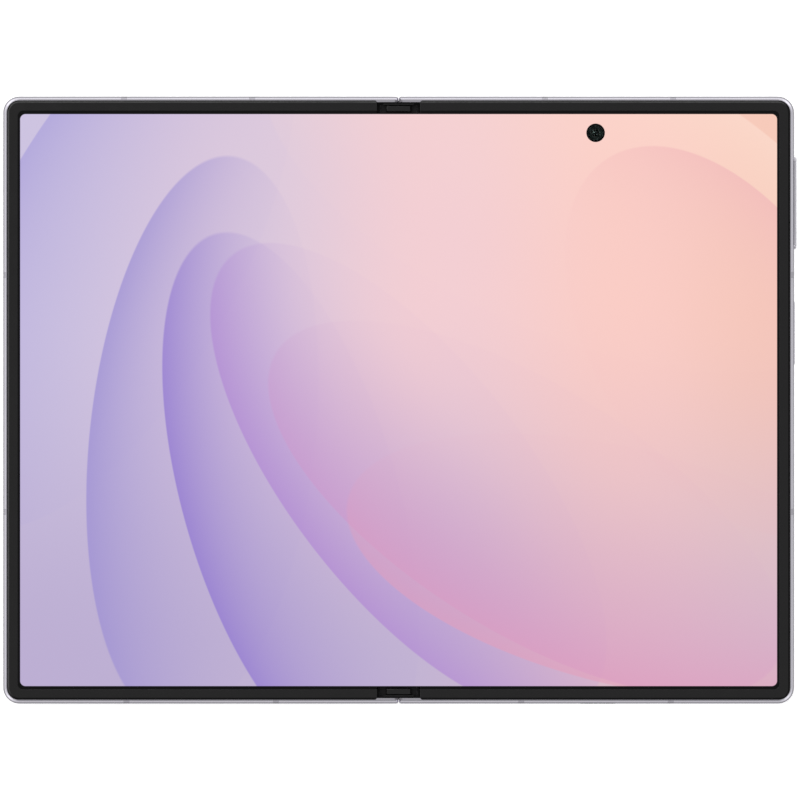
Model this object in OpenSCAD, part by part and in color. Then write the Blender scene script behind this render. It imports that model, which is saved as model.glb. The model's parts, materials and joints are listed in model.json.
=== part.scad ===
// Foldable phone, laid open on its back: two thin wings that fold up, screen to screen, about a
// narrow spine. X runs across both wings, Y along the fold and Z up out of the screen.
// The origin is under the middle of the fold, on the surface that the camera rings rest on.

/* [Wings] */
// Width of the open phone
open_width = 161.4; // [155:0.1:170]
// Length of the phone along the fold
open_length = 123.9; // [118:0.1:130]
// Thickness of one wing
thickness = 4.9; // [4.9:0.05:5.3]
// Radius of the four outer corners, seen from the front
corner_radius = 3.27; // [3:0.01:3.27]
// Width of the metal band round the screen bezel, seen from the front
band_width = 0.86; // [0.8:0.01:0.9]
// Width of the band and bezel together
bezel_width = 3.0; // [2.8:0.05:3.2]

/* [Fold] */
// Half the distance between the two fold axes
axis_x = 1.35; // [1.34:0.01:1.4]
// Height of the fold axes above the back of the wings
axis_z = 3.6; // [3.6:0.01:3.65]
// Outer radius of the spine about each fold axis
spine_radius = 2.9; // [2.88:0.01:2.92]
// Half the width of the screen that bends
bend_half = 7; // [6:0.5:8]
// Distance of each end hinge from the middle of the phone
hinge_y = 43; // [38:1:46]

/* [Cameras and ports] */
// Height of the rear camera rings below the back
camera_height = 1.8; // [1.4:0.1:2.2]
// Diameter of the camera hole in the folding screen
screen_hole = 3.7; // [3.3:0.1:4.2]
// Distance of the right port, the card tray and both screen cameras from the fold
half_middle = 40.4; // [38:0.1:43]

/* [Buttons] */
// Length of the volume button
volume_length = 18.8; // [16:0.1:20]
// Length of the power button
power_length = 13.2; // [11:0.1:14]

/* [Hidden] */
$fn = 64;

// Outline of a wing: half the open width, half the length
wing_x = open_width / 2;
wing_y = open_length / 2;
fold_gap = 0.05;
fold_corner = 0.55;
// Heights inside a wing, from its back
metal_low = 0.1;
metal_high = thickness - 0.15;
glass_t = 0.55;
glass_seat = 0.65;
floor_z = 1.5;
plate_low = 3.45;
plate_high = 3.9;
screen_low = 4.1;
screen_high = 4.65;
bezel_low = 3.92;
lip_low = 4.68;
// The metal band: a flat side between two arcs
side_arc = 2.07;
side_low = 1.8;
side_high = 3.1;
band_depth = 1.6;
end_wall = 1.2;
inner_y = wing_y - end_wall;
wall = 1.5;
// The space for the hinge in each wing ends at a wall in front of the battery
hinge_room = 8.6;
room_wall = 0.4;
room_in = hinge_room + room_wall;
rail_gap = 0.1;
rail_radius = spine_radius + rail_gap;
rail_z = 0.6;
// Turning clearance of the wing corner that passes the fold axis
turn_radius = axis_x - fold_gap;
bezel_end = 4.35;
end_slant = 0.35;
seat_inset = 1.6;
rib_half = 0.4;
upper_rib = 19;
lower_rib = -42;
// Spine
spine_wall = 0.4;
channel_radius = spine_radius - spine_wall;
block_radius = 2.45;
rim_z = 2.9;
spine_y = inner_y - 0.15;
end_plate = 0.4;
bracket_top = 3.85;
groove_play = 0.06;
rotator_low = axis_z - 2.1;
rotator_high = axis_z - 1.5;
rotator_inner = 1.5;
rotator_outer = 2.1;
rotator_reach = 7.8;
rotator_w = 6;
module_half = 7.5;
arm_screw_x = [5.6, 7.2];
// Wing plates hang on knuckles beside the hinge room's wall
plate_pivot = [8.3, 3.62];
knuckle_r = 0.28;
knuckle_y = [-54, -30, 30, 54];
wing_plate_in = 1.3;
wing_plate_y = 58;
relief_x = 4.6;
flex_y = [-20, 20];
flex_half = 5;
flex_reach = 10.2;
// Gear train between the wings: a toothed sector on each, four idlers between them
gear_module = 0.15;
sector_teeth = 13;
idler_teeth = 8;
tooth_up = 0.12;
tooth_down = 0.15;
sector_pitch = gear_module * sector_teeth / 2;
idler_pitch = gear_module * idler_teeth / 2;
inner_idler_z = 1.88;
inner_idler_x = idler_pitch;
outer_idler_x = 1.782;
outer_idler_z = axis_z - sqrt(pow(sector_pitch + idler_pitch, 2) - pow(outer_idler_x - axis_x, 2));
idlers = [[outer_idler_x, outer_idler_z], [inner_idler_x, inner_idler_z],
          [-inner_idler_x, inner_idler_z], [-outer_idler_x, outer_idler_z]];
shaft_r = 0.25;
gear_half = 1.1;
sector_first = -172;
sector_last = -62;
// Rear cameras
island_middle = [66.5, 34.5];
island_half = [10, 22.5];
lens_places = [[66.5, 47], [66.5, 30]];
lens_r = 5.6;
flash_place = [66.5, 17.5];
flash_r = 1.7;
inner_camera_y = 54.5;
cover_camera_y = 54;
// Ports and buttons
port_z = 2.25;
port_half = [4.17, 1.28];
port_shell = 0.25;
port_depth = 7.4;
button_z = 2.45;
button_half = 0.95;
volume_y = 40.2;
volume_out = 0.5;
power_y = 13.7;
power_out = 0.19;
button_play = 0.08;
tray_half = [7, 0.95];
tray_z = 2.45;
// Speaker and microphone holes
speaker_holes = [60.5, 62.5, 64.5, 66.5, 68.5, 70.5];
speaker_hole_r = 0.55;
mic_hole_r = 0.35;
// Plastic breaks in the metal band
break_w = 1.25;
break_depth = 0.8;
top_breaks = [29.85, 56];
bottom_breaks = [25, 55.5];
side_breaks = [25.5, -22.8];

// ---- Outlines and sweeps ----

// Lifts a wing height to the row height, with the camera rings on the ground
module lift() { translate([0, 0, camera_height]) children(); }

// The left wing is the right wing turned over in X
module side(s) { if (s > 0) children(); else mirror([1, 0, 0]) children(); }

// A 2D outline in (x, z) pulled along Y
module along_y(y0, y1) {
    translate([0, y1, 0]) rotate([90, 0, 0]) linear_extrude(y1 - y0) children();
}

// A 2D outline in (y, z) pulled along X
module along_x(x0, x1) {
    translate([x0, 0, 0]) rotate([90, 0, 90]) linear_extrude(x1 - x0) children();
}

module box(low, high) { translate(low) cube(high - low); }

module round_rect(low, high, r) {
    translate([low.x + r, low.y]) square([high.x - low.x - 2 * r, high.y - low.y]);
    translate([low.x, low.y + r]) square([high.x - low.x, high.y - low.y - 2 * r]);
    for (x = [low.x + r, high.x - r], y = [low.y + r, high.y - r])
        translate([x, y]) circle(r);
}

// Right wing outline drawn in by an inset, square at the fold side
module wing_plan(inset, x_in) {
    r = corner_radius - inset;
    x_out = wing_x - inset;
    y_out = wing_y - inset;
    translate([x_in, -y_out]) square([x_out - r - x_in, 2 * y_out]);
    translate([x_in, -y_out + r]) square([x_out - x_in, 2 * (y_out - r)]);
    for (y = [-y_out + r, y_out - r])
        translate([x_out - r, y]) circle(r);
}

module stadium(half) {
    r = min(half.x, half.y);
    dx = half.x - r;
    dy = half.y - r;
    square([2 * dx + (dy > 0 ? 2 * r : 0), 2 * dy + (dx > 0 ? 2 * r : 0)], center = true);
    for (s = [-1, 1]) translate([s * dx, s * dy]) circle(r);
}

// A profile in (inset, z) swept round the top, outer and bottom sides of the right wing
module rim_sweep(x_in) {
    r = corner_radius;
    x_turn = wing_x - r;
    y_turn = wing_y - r;
    along_y(-y_turn, y_turn) translate([wing_x, 0]) mirror([1, 0]) children();
    along_x(x_in, x_turn) translate([wing_y, 0]) mirror([1, 0]) children();
    along_x(x_in, x_turn) translate([-wing_y, 0]) children();
    for (s = [0, 1])
        translate([x_turn, s == 0 ? y_turn : -y_turn, 0]) rotate([0, 0, -90 * s])
            rotate_extrude(angle = 90) translate([r, 0]) mirror([1, 0]) children();
}

// The metal band: flat in the middle, arcs to the front and back
module band_profile() {
    intersection() {
        translate([0, metal_low]) square([band_depth, metal_high - metal_low]);
        union() {
            translate([0, side_low]) square([band_depth, side_high - side_low]);
            for (z = [side_low, side_high]) translate([side_arc, z]) circle(side_arc);
        }
    }
}

// The space swept by a wing's corner about its fold axis
module turning_cut() {
    along_y(-wing_y - 1, wing_y + 1) difference() {
        translate([-1, axis_z]) square([axis_x + 1, 3]);
        translate([axis_x, axis_z]) circle(turn_radius);
    }
}

module fold_corner_cut() {
    for (s = [-1, 1]) scale([1, s, 1]) translate([0, 0, -1]) linear_extrude(thickness + 2)
        difference() {
            translate([fold_gap - 0.5, wing_y - fold_corner]) square([fold_corner + 0.5, 1.5]);
            translate([fold_gap + fold_corner, wing_y - fold_corner]) circle(fold_corner);
        }
}

// The bezel's ends are cut at a slant where they meet the band
module end_slants(size) {
    edge = wing_y - band_width;
    for (s = [-1, 1]) polygon([
        [bezel_end - 1, s * (edge - size - 1)], [bezel_end + size + 1, s * (edge + 1)],
        [bezel_end - 1, s * (edge + 1)]
    ]);
}

// The ledge in the band's top that the bezel sits on
module bezel_recess() {
    translate([0, 0, plate_high]) linear_extrude(2) difference() {
        wing_plan(band_width, bezel_end);
        end_slants(end_slant);
    }
}

// The recess in the back that the glass sits in
module glass_recess() {
    translate([0, 0, -1]) linear_extrude(1 + glass_seat) translate([3.3, -wing_y + 0.95])
        round_rect([0, 0], [wing_x - 0.95 - 3.3, open_length - 1.9], 2.2);
}

// The solid blank of a wing's frame, before its pockets
module frame_blank() {
    difference() {
        union() {
            rim_sweep(fold_gap) band_profile();
            translate([0, 0, metal_low]) linear_extrude(metal_high - metal_low)
                wing_plan(1.2, fold_gap);
        }
        turning_cut();
        fold_corner_cut();
    }
}

// ---- Frames ----

module hinge_room_cut() {
    along_y(-inner_y, inner_y) difference() {
        union() {
            translate([axis_x, axis_z]) circle(rail_radius);
            translate([-1, rail_z]) square([axis_x + 1, 6]);
            translate([axis_x, floor_z]) square([hinge_room - axis_x, 6]);
        }
        translate([-5, -5]) square([20, 5 + rail_z]);
    }
}

module break_boxes() {
    half = break_w / 2;
    for (x = top_breaks) box([x - half, wing_y - break_depth, -1], [x + half, wing_y + 1, 6]);
    for (x = bottom_breaks) box([x - half, -wing_y - 1, -1], [x + half, -wing_y + break_depth, 6]);
    for (y = side_breaks) box([wing_x - break_depth, y - half, -1], [wing_x + 1, y + half, 6]);
}

module slot_x(x0, x1, y, z, half) {
    translate([0, y, z]) along_x(x0, x1) stadium(half);
}

module slot_y(y0, y1, x, z, half) {
    translate([x, 0, z]) along_y(y0, y1) stadium(half);
}

// Cradles that carry the wing plate's knuckles
module knuckle_cradles() {
    for (y = knuckle_y) difference() {
        box([8.02, y - 3, floor_z - 0.2], [hinge_room + 0.1, y + 3, plate_low]);
        translate([plate_pivot.x, y, plate_pivot.y]) rotate([90, 0, 0])
            cylinder(h = 8, r = knuckle_r + 0.04, center = true);
    }
}

// Screw holes under the arms; turn is -1 on the left wing, whose arms sit half a turn round
module arm_holes(low, high, r, turn) {
    for (y = arm_middles, x = arm_screw_x)
        translate([x, turn * y, low]) cylinder(h = high - low, r = r);
}

module wing_frame(rib_low, turn) {
    difference() {
        frame_blank();
        hinge_room_cut();
        bezel_recess();
        glass_recess();
        box([room_in, upper_rib + rib_half, 0], [wing_x - wall, wing_y - wall, plate_low]);
        box([room_in, lower_rib + rib_half, 0], [wing_x - wall, upper_rib - rib_half, plate_low]);
        box([room_in, -wing_y + wall, 0], [wing_x - wall, lower_rib - rib_half, plate_low]);
        box([room_in, -60, 0], [wing_x - wall, 60, rib_low]);
        break_boxes();
        for (y = flex_y) box([hinge_room - 1, y - flex_half - 0.2, 3.0],
                             [room_in + 1.4, y + flex_half + 0.2, 3.4]);
        arm_holes(0.85, 2, 0.42, turn);
    }
    knuckle_cradles();
}

// Round sound holes through the band at the top (side 1) or bottom (side -1) of the right wing
module sound_holes(places, s, r) {
    for (x = places) translate([x, s * wing_y, button_z]) rotate([90, 0, 0])
        cylinder(h = 2 * wall + 1, r = r, center = true);
}

module right_frame() {
    color([0.80, 0.78, 0.82]) lift() difference() {
        wing_frame(glass_seat, 1);
        sound_holes(speaker_holes, -1, speaker_hole_r);
        sound_holes([32], -1, mic_hole_r);
        sound_holes([half_middle + 6], 1, mic_hole_r);
        slot_x(wing_x - 3, wing_x + 2, volume_y, button_z,
               [volume_length / 2 + button_play, button_half + button_play]);
        slot_x(wing_x - 3, wing_x + 2, power_y, button_z,
               [power_length / 2 + button_play, button_half + button_play]);
        slot_y(-wing_y - 1, -wing_y + port_depth + 0.1, half_middle, port_z,
               port_half + [port_shell + 0.02, port_shell + 0.02]);
        translate([half_middle - 0.1, inner_camera_y, 3]) cylinder(h = 2, r = 3.1);
    }
}

module left_frame() {
    color([0.80, 0.78, 0.82]) lift() side(-1) difference() {
        wing_frame(floor_z + 0.1, -1);
        sound_holes(speaker_holes, 1, speaker_hole_r);
        intersection() {
            slot_y(-wing_y - 1, -wing_y + 1.1, half_middle, tray_z,
                   tray_half + [button_play, button_play]);
            box([0, -70, 0], [80, 0, 6]);
        }
        box([half_middle - 6.4, -wing_y - 0.5, 1.75], [half_middle + 6.4, -wing_y + 3, 2.95]);
    }
}

module antenna_inlays() {
    intersection() {
        difference() {
            frame_blank();
            bezel_recess();
            glass_recess();
        }
        break_boxes();
    }
}

module right_antenna_inlays() { color([0.66, 0.65, 0.68]) lift() antenna_inlays(); }

module left_antenna_inlays() { color([0.66, 0.65, 0.68]) lift() side(-1) antenna_inlays(); }

// ---- Screen and bezel ----

module bezel() {
    difference() {
        union() {
            rim_sweep(bezel_end) polygon([
                [band_width + 0.02, bezel_low], [1.55, bezel_low], [1.55, lip_low], [2.2, lip_low],
                [2.2, thickness], [1.43, thickness], [band_width + 0.02, thickness - 0.17]
            ]);
            translate([0, 0, lip_low]) linear_extrude(thickness - lip_low) difference() {
                wing_plan(2.0, bezel_end);
                translate([0, -wing_y + bezel_width])
                    round_rect([-5, 0], [wing_x - bezel_width, open_length - 2 * bezel_width], 1);
            }
        }
        translate([0, 0, 3]) linear_extrude(3) end_slants(end_slant + 0.04);
    }
}

module right_bezel() { color([0.13, 0.13, 0.14]) lift() bezel(); }

module left_bezel() { color([0.13, 0.13, 0.14]) lift() side(-1) bezel(); }

module screen_half(x_in, low, high) {
    translate([0, 0, low]) linear_extrude(high - low)
        intersection() {
            translate([x_in - 10, -wing_y + seat_inset])
                round_rect([0, 0], [wing_x - seat_inset - x_in + 10, open_length - 2 * seat_inset],
                           corner_radius - seat_inset);
            translate([x_in, -100]) square([200, 200]);
        }
}

module display_right() {
    color([0.86, 0.76, 0.80]) lift() difference() {
        screen_half(bend_half, screen_low, screen_high);
        translate([half_middle - 0.1, inner_camera_y, 3]) cylinder(h = 3, r = screen_hole / 2);
    }
}

module display_left() {
    color([0.78, 0.72, 0.85]) lift() side(-1) screen_half(bend_half, screen_low, screen_high);
}

// The part of the screen that bends, notched at its ends for the hinge caps
module display_fold() {
    notch_y = wing_y - bezel_width - 0.5;
    color([0.82, 0.74, 0.84]) lift() translate([0, 0, screen_low])
        linear_extrude(screen_high - screen_low) {
            square([2 * bend_half, 2 * notch_y], center = true);
            for (s = [-1, 1]) translate([s * (bezel_end + bend_half + 0.1) / 2, 0])
                square([bend_half - bezel_end - 0.1, open_length - 2 * seat_inset], center = true);
        }
}

module support_plate() {
    difference() {
        screen_half(hinge_room + 0.1, plate_high + 0.02, screen_low - 0.02);
        translate([half_middle - 0.1, inner_camera_y, 3]) cylinder(h = 3, r = 3.1);
    }
}

module right_support_plate() { color([0.45, 0.46, 0.48]) lift() support_plate(); }

module left_support_plate() { color([0.45, 0.46, 0.48]) lift() side(-1) support_plate(); }

// A plate under the bending screen, relieved round the hinge arms and the flat cables
module wing_plate() {
    difference() {
        box([wing_plate_in, -wing_plate_y, 3.86], [plate_pivot.x, wing_plate_y, 4.04]);
        for (y = [-hinge_y, 0, hinge_y])
            box([0, y - module_half - 1.5, 3], [relief_x, y + module_half + 1.5, 5]);
        for (y = flex_y) box([0, y - flex_half - 0.6, 3], [relief_x, y + flex_half + 0.6, 5]);
    }
    for (y = knuckle_y) {
        translate([plate_pivot.x, y, plate_pivot.y]) rotate([90, 0, 0])
            cylinder(h = 5.6, r = knuckle_r, center = true);
        box([plate_pivot.x - 0.14, y - 2.8, plate_pivot.y], [plate_pivot.x, y + 2.8, 4.04]);
    }
}

module right_wing_plate() { color([0.55, 0.56, 0.58]) lift() wing_plate(); }

module left_wing_plate() { color([0.55, 0.56, 0.58]) lift() side(-1) wing_plate(); }

// ---- Spine ----

// Section of the spine: two arcs about the fold axes with a flat between them
module spine_section(r, top) {
    intersection() {
        union() {
            for (s = [-1, 1]) translate([s * axis_x, axis_z]) circle(r);
            translate([-axis_x, axis_z - r]) square([2 * axis_x, r]);
        }
        translate([-10, 0]) square([20, top]);
    }
}

// Middles of the wing arms along the fold; the left arms sit beside the right ones
arm_offset = 3.5;
sync_arm_y = 4.4;
arm_middles = [hinge_y + arm_offset, -hinge_y + arm_offset, sync_arm_y];
right_arm_w = [rotator_w, rotator_w, 5];

module arm_notches() {
    for (i = [0:2])
        box([2.2, arm_middles[i] - right_arm_w[i] / 2 - 0.1, 1.4],
            [5, arm_middles[i] + right_arm_w[i] / 2 + 0.1, 4]);
}

module spine_cover() {
    color([0.72, 0.70, 0.74]) lift() difference() {
        along_y(-spine_y, spine_y) spine_section(spine_radius, rim_z);
        along_y(-spine_y + end_plate, spine_y - end_plate) spine_section(channel_radius, 5);
        arm_notches();
        rotate([0, 0, 180]) arm_notches();
    }
}

module ring_sector(r0, r1, a0, a1) {
    difference() {
        circle(r1);
        circle(r0);
        rotate(a1) translate([-5, 0]) square([10, 5]);
        rotate(a0) translate([-5, -5]) square([10, 5]);
    }
}

// The path of a right wing's arm and crescent through a bracket
module arm_path() {
    translate([axis_x, axis_z]) {
        difference() {
            circle(rotator_outer + groove_play);
            circle(rotator_inner - groove_play);
            rotate(10) translate([-5, 0]) square([5, 5]);
        }
        difference() {
            translate([0, -rotator_outer - groove_play]) square([4, 5]);
            circle(rotator_inner - groove_play);
        }
    }
}

module bracket_block() {
    spine_section(block_radius, axis_z);
    translate([-1.1, 2]) square([2.2, bracket_top - 2]);
}

module hinge_bracket(y) {
    difference() {
        along_y(y - module_half, y + module_half) bracket_block();
        along_y(y + arm_offset - 3.1, y + arm_offset + 3.1) arm_path();
        mirror([1, 0, 0]) along_y(y - arm_offset - 3.1, y - arm_offset + 3.1) arm_path();
        translate([0, y, 0]) cylinder(h = 4, r = 0.42);
    }
}

module hinge_bracket_top() { color([0.40, 0.41, 0.43]) lift() hinge_bracket(hinge_y); }

module hinge_bracket_bottom() { color([0.40, 0.41, 0.43]) lift() hinge_bracket(-hinge_y); }

module sync_bracket() {
    color([0.40, 0.41, 0.43]) lift() difference() {
        along_y(-8.4, 8.4) bracket_block();
        along_y(-1.95, 1.95) translate([-6, 0]) square([12, axis_z + 0.02]);
        along_y(1.85, sync_arm_y + 2.6) arm_path();
        mirror([1, 0, 0]) along_y(-sync_arm_y - 2.6, -1.85) arm_path();
        for (i = [0:3]) idler_place(i) cylinder(h = 30, r = shaft_r + 0.01, center = true);
        for (s = [-1, 1]) translate([0, s * 7.7, 0]) cylinder(h = 4, r = 0.42);
    }
}

module spine_screws() {
    color([0.62, 0.63, 0.65]) lift()
        for (y = [-hinge_y, -7.7, 7.7, hinge_y]) translate([0, y, 1.13])
            cylinder(h = bracket_top - 1.13, r = 0.4);
}

// Block and cap that close each end of the spine below the notch in the screen
module hinge_cap() {
    cap_in = wing_y - bezel_width - 0.45;
    cap_out = inner_y - 0.55;
    along_y(cap_in, cap_out) spine_section(block_radius - 0.05, axis_z);
    translate([0, 0, axis_z]) linear_extrude(bracket_top - axis_z + 0.9) polygon([
        [-3.27, cap_in], [3.27, cap_in], [3.27, cap_out - 0.7], [2.5, cap_out], [-2.5, cap_out],
        [-3.27, cap_out - 0.7]
    ]);
}

module hinge_cap_top() { color([0.15, 0.15, 0.16]) lift() hinge_cap(); }

module hinge_cap_bottom() { color([0.15, 0.15, 0.16]) lift() mirror([0, 1, 0]) hinge_cap(); }

module fold_support_strip() {
    color([0.55, 0.56, 0.58]) lift() box([-1.1, -wing_plate_y, bracket_top + 0.03],
                                         [1.1, wing_plate_y, screen_low - 0.04]);
}

// Two friction springs on their rods, one each side of the middle
module torque_springs() {
    color([0.60, 0.61, 0.63]) lift() for (x = [-1.5, 1.5], y = [-30, 30])
        translate([x, y, 1.85]) rotate([90, 0, 0]) difference() {
            cylinder(h = 9, r = 0.55, center = true);
            cylinder(h = 10, r = 0.3, center = true);
        }
}

module hinge_flex_cables() {
    color([0.80, 0.50, 0.18]) lift() for (y = flex_y)
        box([-flex_reach, y - flex_half, 3.13], [flex_reach, y + flex_half, 3.28]);
}

// ---- Gear train ----

// Outline of a gear with straight-sided teeth and play at the pitch circle
module gear_outline(teeth, phase) {
    pitch = gear_module * teeth / 2;
    step = 360 / teeth;
    root = pitch - tooth_down;
    circle(root);
    for (i = [0:teeth - 1]) rotate(phase + i * step) polygon([
        [root - 0.1, -0.14], [root, -0.14], [pitch, -0.085], [pitch + tooth_up, -0.045],
        [pitch + tooth_up, 0.045], [pitch, 0.085], [root, 0.14], [root - 0.1, 0.14]
    ]);
}

// Direction from one centre to the next, and the tooth phase that puts b in mesh with a
function towards(a, b) = atan2(b.y - a.y, b.x - a.x);
function mesh(phase, teeth_a, teeth_b, dir) =
    dir + 180 + (dir - phase) * teeth_a / teeth_b + 180 / teeth_b;

right_axis = [axis_x, axis_z];
left_axis = [-axis_x, axis_z];
sector_phase = towards(right_axis, idlers[0]);
phase_1 = mesh(sector_phase, sector_teeth, idler_teeth, sector_phase);
phase_2 = mesh(phase_1, idler_teeth, idler_teeth, towards(idlers[0], idlers[1]));
phase_3 = mesh(phase_2, idler_teeth, idler_teeth, towards(idlers[1], idlers[2]));
phase_4 = mesh(phase_3, idler_teeth, idler_teeth, towards(idlers[2], idlers[3]));
left_phase = mesh(phase_4, idler_teeth, sector_teeth, towards(idlers[3], left_axis));
idler_phases = [phase_1, phase_2, phase_3, phase_4];

module idler_place(i) {
    translate([idlers[i].x, 0, idlers[i].y]) rotate([90, 0, 0]) children();
}

module idler(i) {
    color([0.78, 0.70, 0.50]) lift() idler_place(i) linear_extrude(2 * gear_half, center = true)
        difference() {
            gear_outline(idler_teeth, idler_phases[i]);
            circle(shaft_r + 0.04);
        }
}

module idler_gear_1() { idler(0); }

module idler_gear_2() { idler(1); }

module idler_gear_3() { idler(2); }

module idler_gear_4() { idler(3); }

// The right pair of rods is held in front of the middle and the left pair behind it
module gear_shafts() {
    color([0.66, 0.67, 0.69]) lift() for (i = [0:3]) {
        y_low = i < 2 ? -6.5 : -gear_half - 0.1;
        y_high = i < 2 ? gear_half + 0.1 : 6.5;
        translate([idlers[i].x, y_high, idlers[i].y]) rotate([90, 0, 0])
            cylinder(h = y_high - y_low, r = shaft_r);
    }
}

// ---- Wing arms ----

// A crescent about the right fold axis with a flat arm screwed into the wing
module rotator(y, w) {
    difference() {
        union() {
            along_y(y - w / 2, y + w / 2) translate([axis_x, axis_z])
                ring_sector(rotator_inner, rotator_outer, -165, -90);
            box([axis_x - 0.01, y - w / 2, rotator_low], [rotator_reach, y + w / 2, rotator_high]);
        }
        for (x = arm_screw_x) translate([x, y, 0]) cylinder(h = 4, r = 0.42);
    }
}

// The middle arm also carries the toothed sector that drives the idlers
module sync_rotator(teeth_phase) {
    rotator(sync_arm_y, 5);
    along_y(1.3, 1.9) translate([axis_x, axis_z]) ring_sector(0.5, rotator_outer, -165, -90);
    along_y(-gear_half - 0.1, 1.3) translate([axis_x, axis_z]) intersection() {
        gear_outline(sector_teeth, teeth_phase);
        ring_sector(0.5, 2, sector_first, sector_last);
    }
}

module right_rotator_top() {
    color([0.50, 0.51, 0.53]) lift() rotator(hinge_y + arm_offset, rotator_w);
}

module right_rotator_bottom() {
    color([0.50, 0.51, 0.53]) lift() rotator(-hinge_y + arm_offset, rotator_w);
}

module right_sync_rotator() { color([0.50, 0.51, 0.53]) lift() sync_rotator(sector_phase); }

module left_rotator_top() {
    color([0.50, 0.51, 0.53]) lift() rotate([0, 0, 180])
        rotator(-hinge_y + arm_offset, rotator_w);
}

module left_rotator_bottom() {
    color([0.50, 0.51, 0.53]) lift() rotate([0, 0, 180])
        rotator(hinge_y + arm_offset, rotator_w);
}

module left_sync_rotator() {
    color([0.50, 0.51, 0.53]) lift() rotate([0, 0, 180]) sync_rotator(180 - left_phase);
}

module arm_screws() {
    for (y = arm_middles, x = arm_screw_x) translate([x, y, 0]) {
        translate([0, 0, 0.9]) cylinder(h = rotator_high - 0.9, r = 0.4);
        translate([0, 0, rotator_high]) cylinder(h = 0.25, r = 0.7);
    }
}

module right_arm_screws() { color([0.62, 0.63, 0.65]) lift() arm_screws(); }

module left_arm_screws() { color([0.62, 0.63, 0.65]) lift() rotate([0, 0, 180]) arm_screws(); }

// ---- Backs and cameras ----

module back_glass() {
    linear_extrude(glass_t) translate([3.4, -wing_y + 1.05])
        round_rect([0, 0], [wing_x - 1.05 - 3.4, open_length - 2.1], 2.1);
}

module island_plan(grow) {
    translate(island_middle) stadium(island_half + [grow, grow]);
}

module rear_glass() {
    color([0.84, 0.82, 0.87]) lift() difference() {
        back_glass();
        translate([0, 0, -1]) linear_extrude(3) island_plan(0.05);
    }
}

module cover_glass() { color([0.08, 0.08, 0.10]) lift() side(-1) back_glass(); }

module camera_island() {
    island_low = 0.4 - camera_height;
    color([0.80, 0.78, 0.83]) lift() difference() {
        translate([0, 0, island_low]) linear_extrude(glass_seat - 0.02 - island_low)
            island_plan(0);
        for (p = lens_places) translate([p.x, p.y, -3]) cylinder(h = 6, r = lens_r);
        translate([flash_place.x, flash_place.y, -3]) cylinder(h = 6, r = flash_r);
    }
}

module camera_rings() {
    color([0.70, 0.69, 0.72]) lift() for (p = lens_places)
        translate([p.x, p.y, -camera_height]) difference() {
            cylinder(h = 0.4, r = lens_r + 1.4);
            translate([0, 0, -1]) cylinder(h = 3, r = lens_r);
        }
}

module camera_lens_glass() {
    color([0.05, 0.05, 0.07]) lift() for (p = lens_places)
        translate([p.x, p.y, 0.15 - camera_height]) cylinder(h = 0.5, r = lens_r - 0.03);
}

module rear_cameras() {
    color([0.10, 0.10, 0.12]) lift() for (p = lens_places) {
        translate([p.x, p.y, 0.7 - camera_height]) cylinder(h = 2.5 + camera_height, r = 5.3);
        box([p.x - 6, p.y - 6, 1.0], [p.x + 6, p.y + 6, 3.35]);
    }
}

module flash_led() {
    color([0.95, 0.90, 0.72]) lift() translate([flash_place.x, flash_place.y, 0.45 - camera_height])
        cylinder(h = camera_height + 0.1, r = flash_r - 0.03);
}

module inner_camera() {
    color([0.06, 0.07, 0.08]) lift() translate([half_middle - 0.1, inner_camera_y, 0]) {
        translate([0, 0, 2.9]) cylinder(h = 1.1, r = 3.0);
        translate([0, 0, 3.9]) cylinder(h = screen_high - 3.95, r = screen_hole / 2 - 0.02);
    }
}

module cover_camera() {
    color([0.06, 0.07, 0.08]) lift() translate([-half_middle, cover_camera_y, 0]) {
        translate([0, 0, glass_t + 0.05]) cylinder(h = 1.2, r = 1.9);
        translate([-3, -3, 1.7]) cube([6, 6, 1.6]);
    }
}

module cover_display() {
    color([0.03, 0.03, 0.04]) lift() difference() {
        box([-wing_x + wall + 1, -wing_y + wall + 1, glass_t + 0.11],
            [-room_in - 0.3, wing_y - wall - 1, floor_z]);
        translate([-half_middle, cover_camera_y, 0]) cylinder(h = 4, r = 2.1);
    }
}

// ---- Boards, batteries and ports ----

module main_board() {
    color([0.10, 0.32, 0.22]) lift() difference() {
        box([10, 20, 1.6], [77, 59.5, 2.2]);
        for (p = lens_places) box([p.x - 6.3, p.y - 6.3, 0], [p.x + 6.3, p.y + 6.3, 5]);
        translate([half_middle - 0.1, inner_camera_y, 0]) cylinder(h = 5, r = 4);
        box([73.5, 15, 0], [80, 70, 5]);
    }
}

module board_shields() {
    color([0.70, 0.71, 0.73]) lift() {
        box([13, 23, 2.2], [33, 45, 3.2]);
        box([36, 23, 2.2], [57, 45, 3.3]);
        box([13, 47, 2.2], [34, 57, 3.1]);
        box([20, 25, 0.8], [50, 43, 1.6]);
    }
}

module right_battery() {
    color([0.12, 0.12, 0.13]) lift() box([10.5, -40.5, 0.75], [76, 17.5, 3.3]);
}

module left_battery() {
    color([0.12, 0.12, 0.13]) lift() box([-76, -40.5, 1.65], [-10.5, 17.5, 3.3]);
}

module charge_port() {
    color([0.58, 0.58, 0.60]) lift() {
        difference() {
            slot_y(-wing_y + 0.02, -wing_y + port_depth, half_middle, port_z,
                   port_half + [port_shell, port_shell]);
            slot_y(-wing_y - 1, -wing_y + port_depth - 0.4, half_middle, port_z, port_half);
        }
        box([half_middle - 3.35, -wing_y + 1.0, port_z - 0.35],
            [half_middle + 3.35, -wing_y + port_depth - 0.2, port_z + 0.35]);
    }
}

module charge_board() {
    color([0.10, 0.32, 0.22]) lift() difference() {
        box([11, -59.5, 1.6], [77, -44, 2.2]);
        box([half_middle - 4.6, -70, 0], [half_middle + 4.6, -wing_y + port_depth + 0.1, 5]);
        box([52, -60, 0], [78, -50, 5]);
    }
}

module bottom_speaker() {
    color([0.18, 0.18, 0.20]) lift() box([52.5, -59.8, 0.8], [77.5, -50.3, 3.3]);
}

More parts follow.
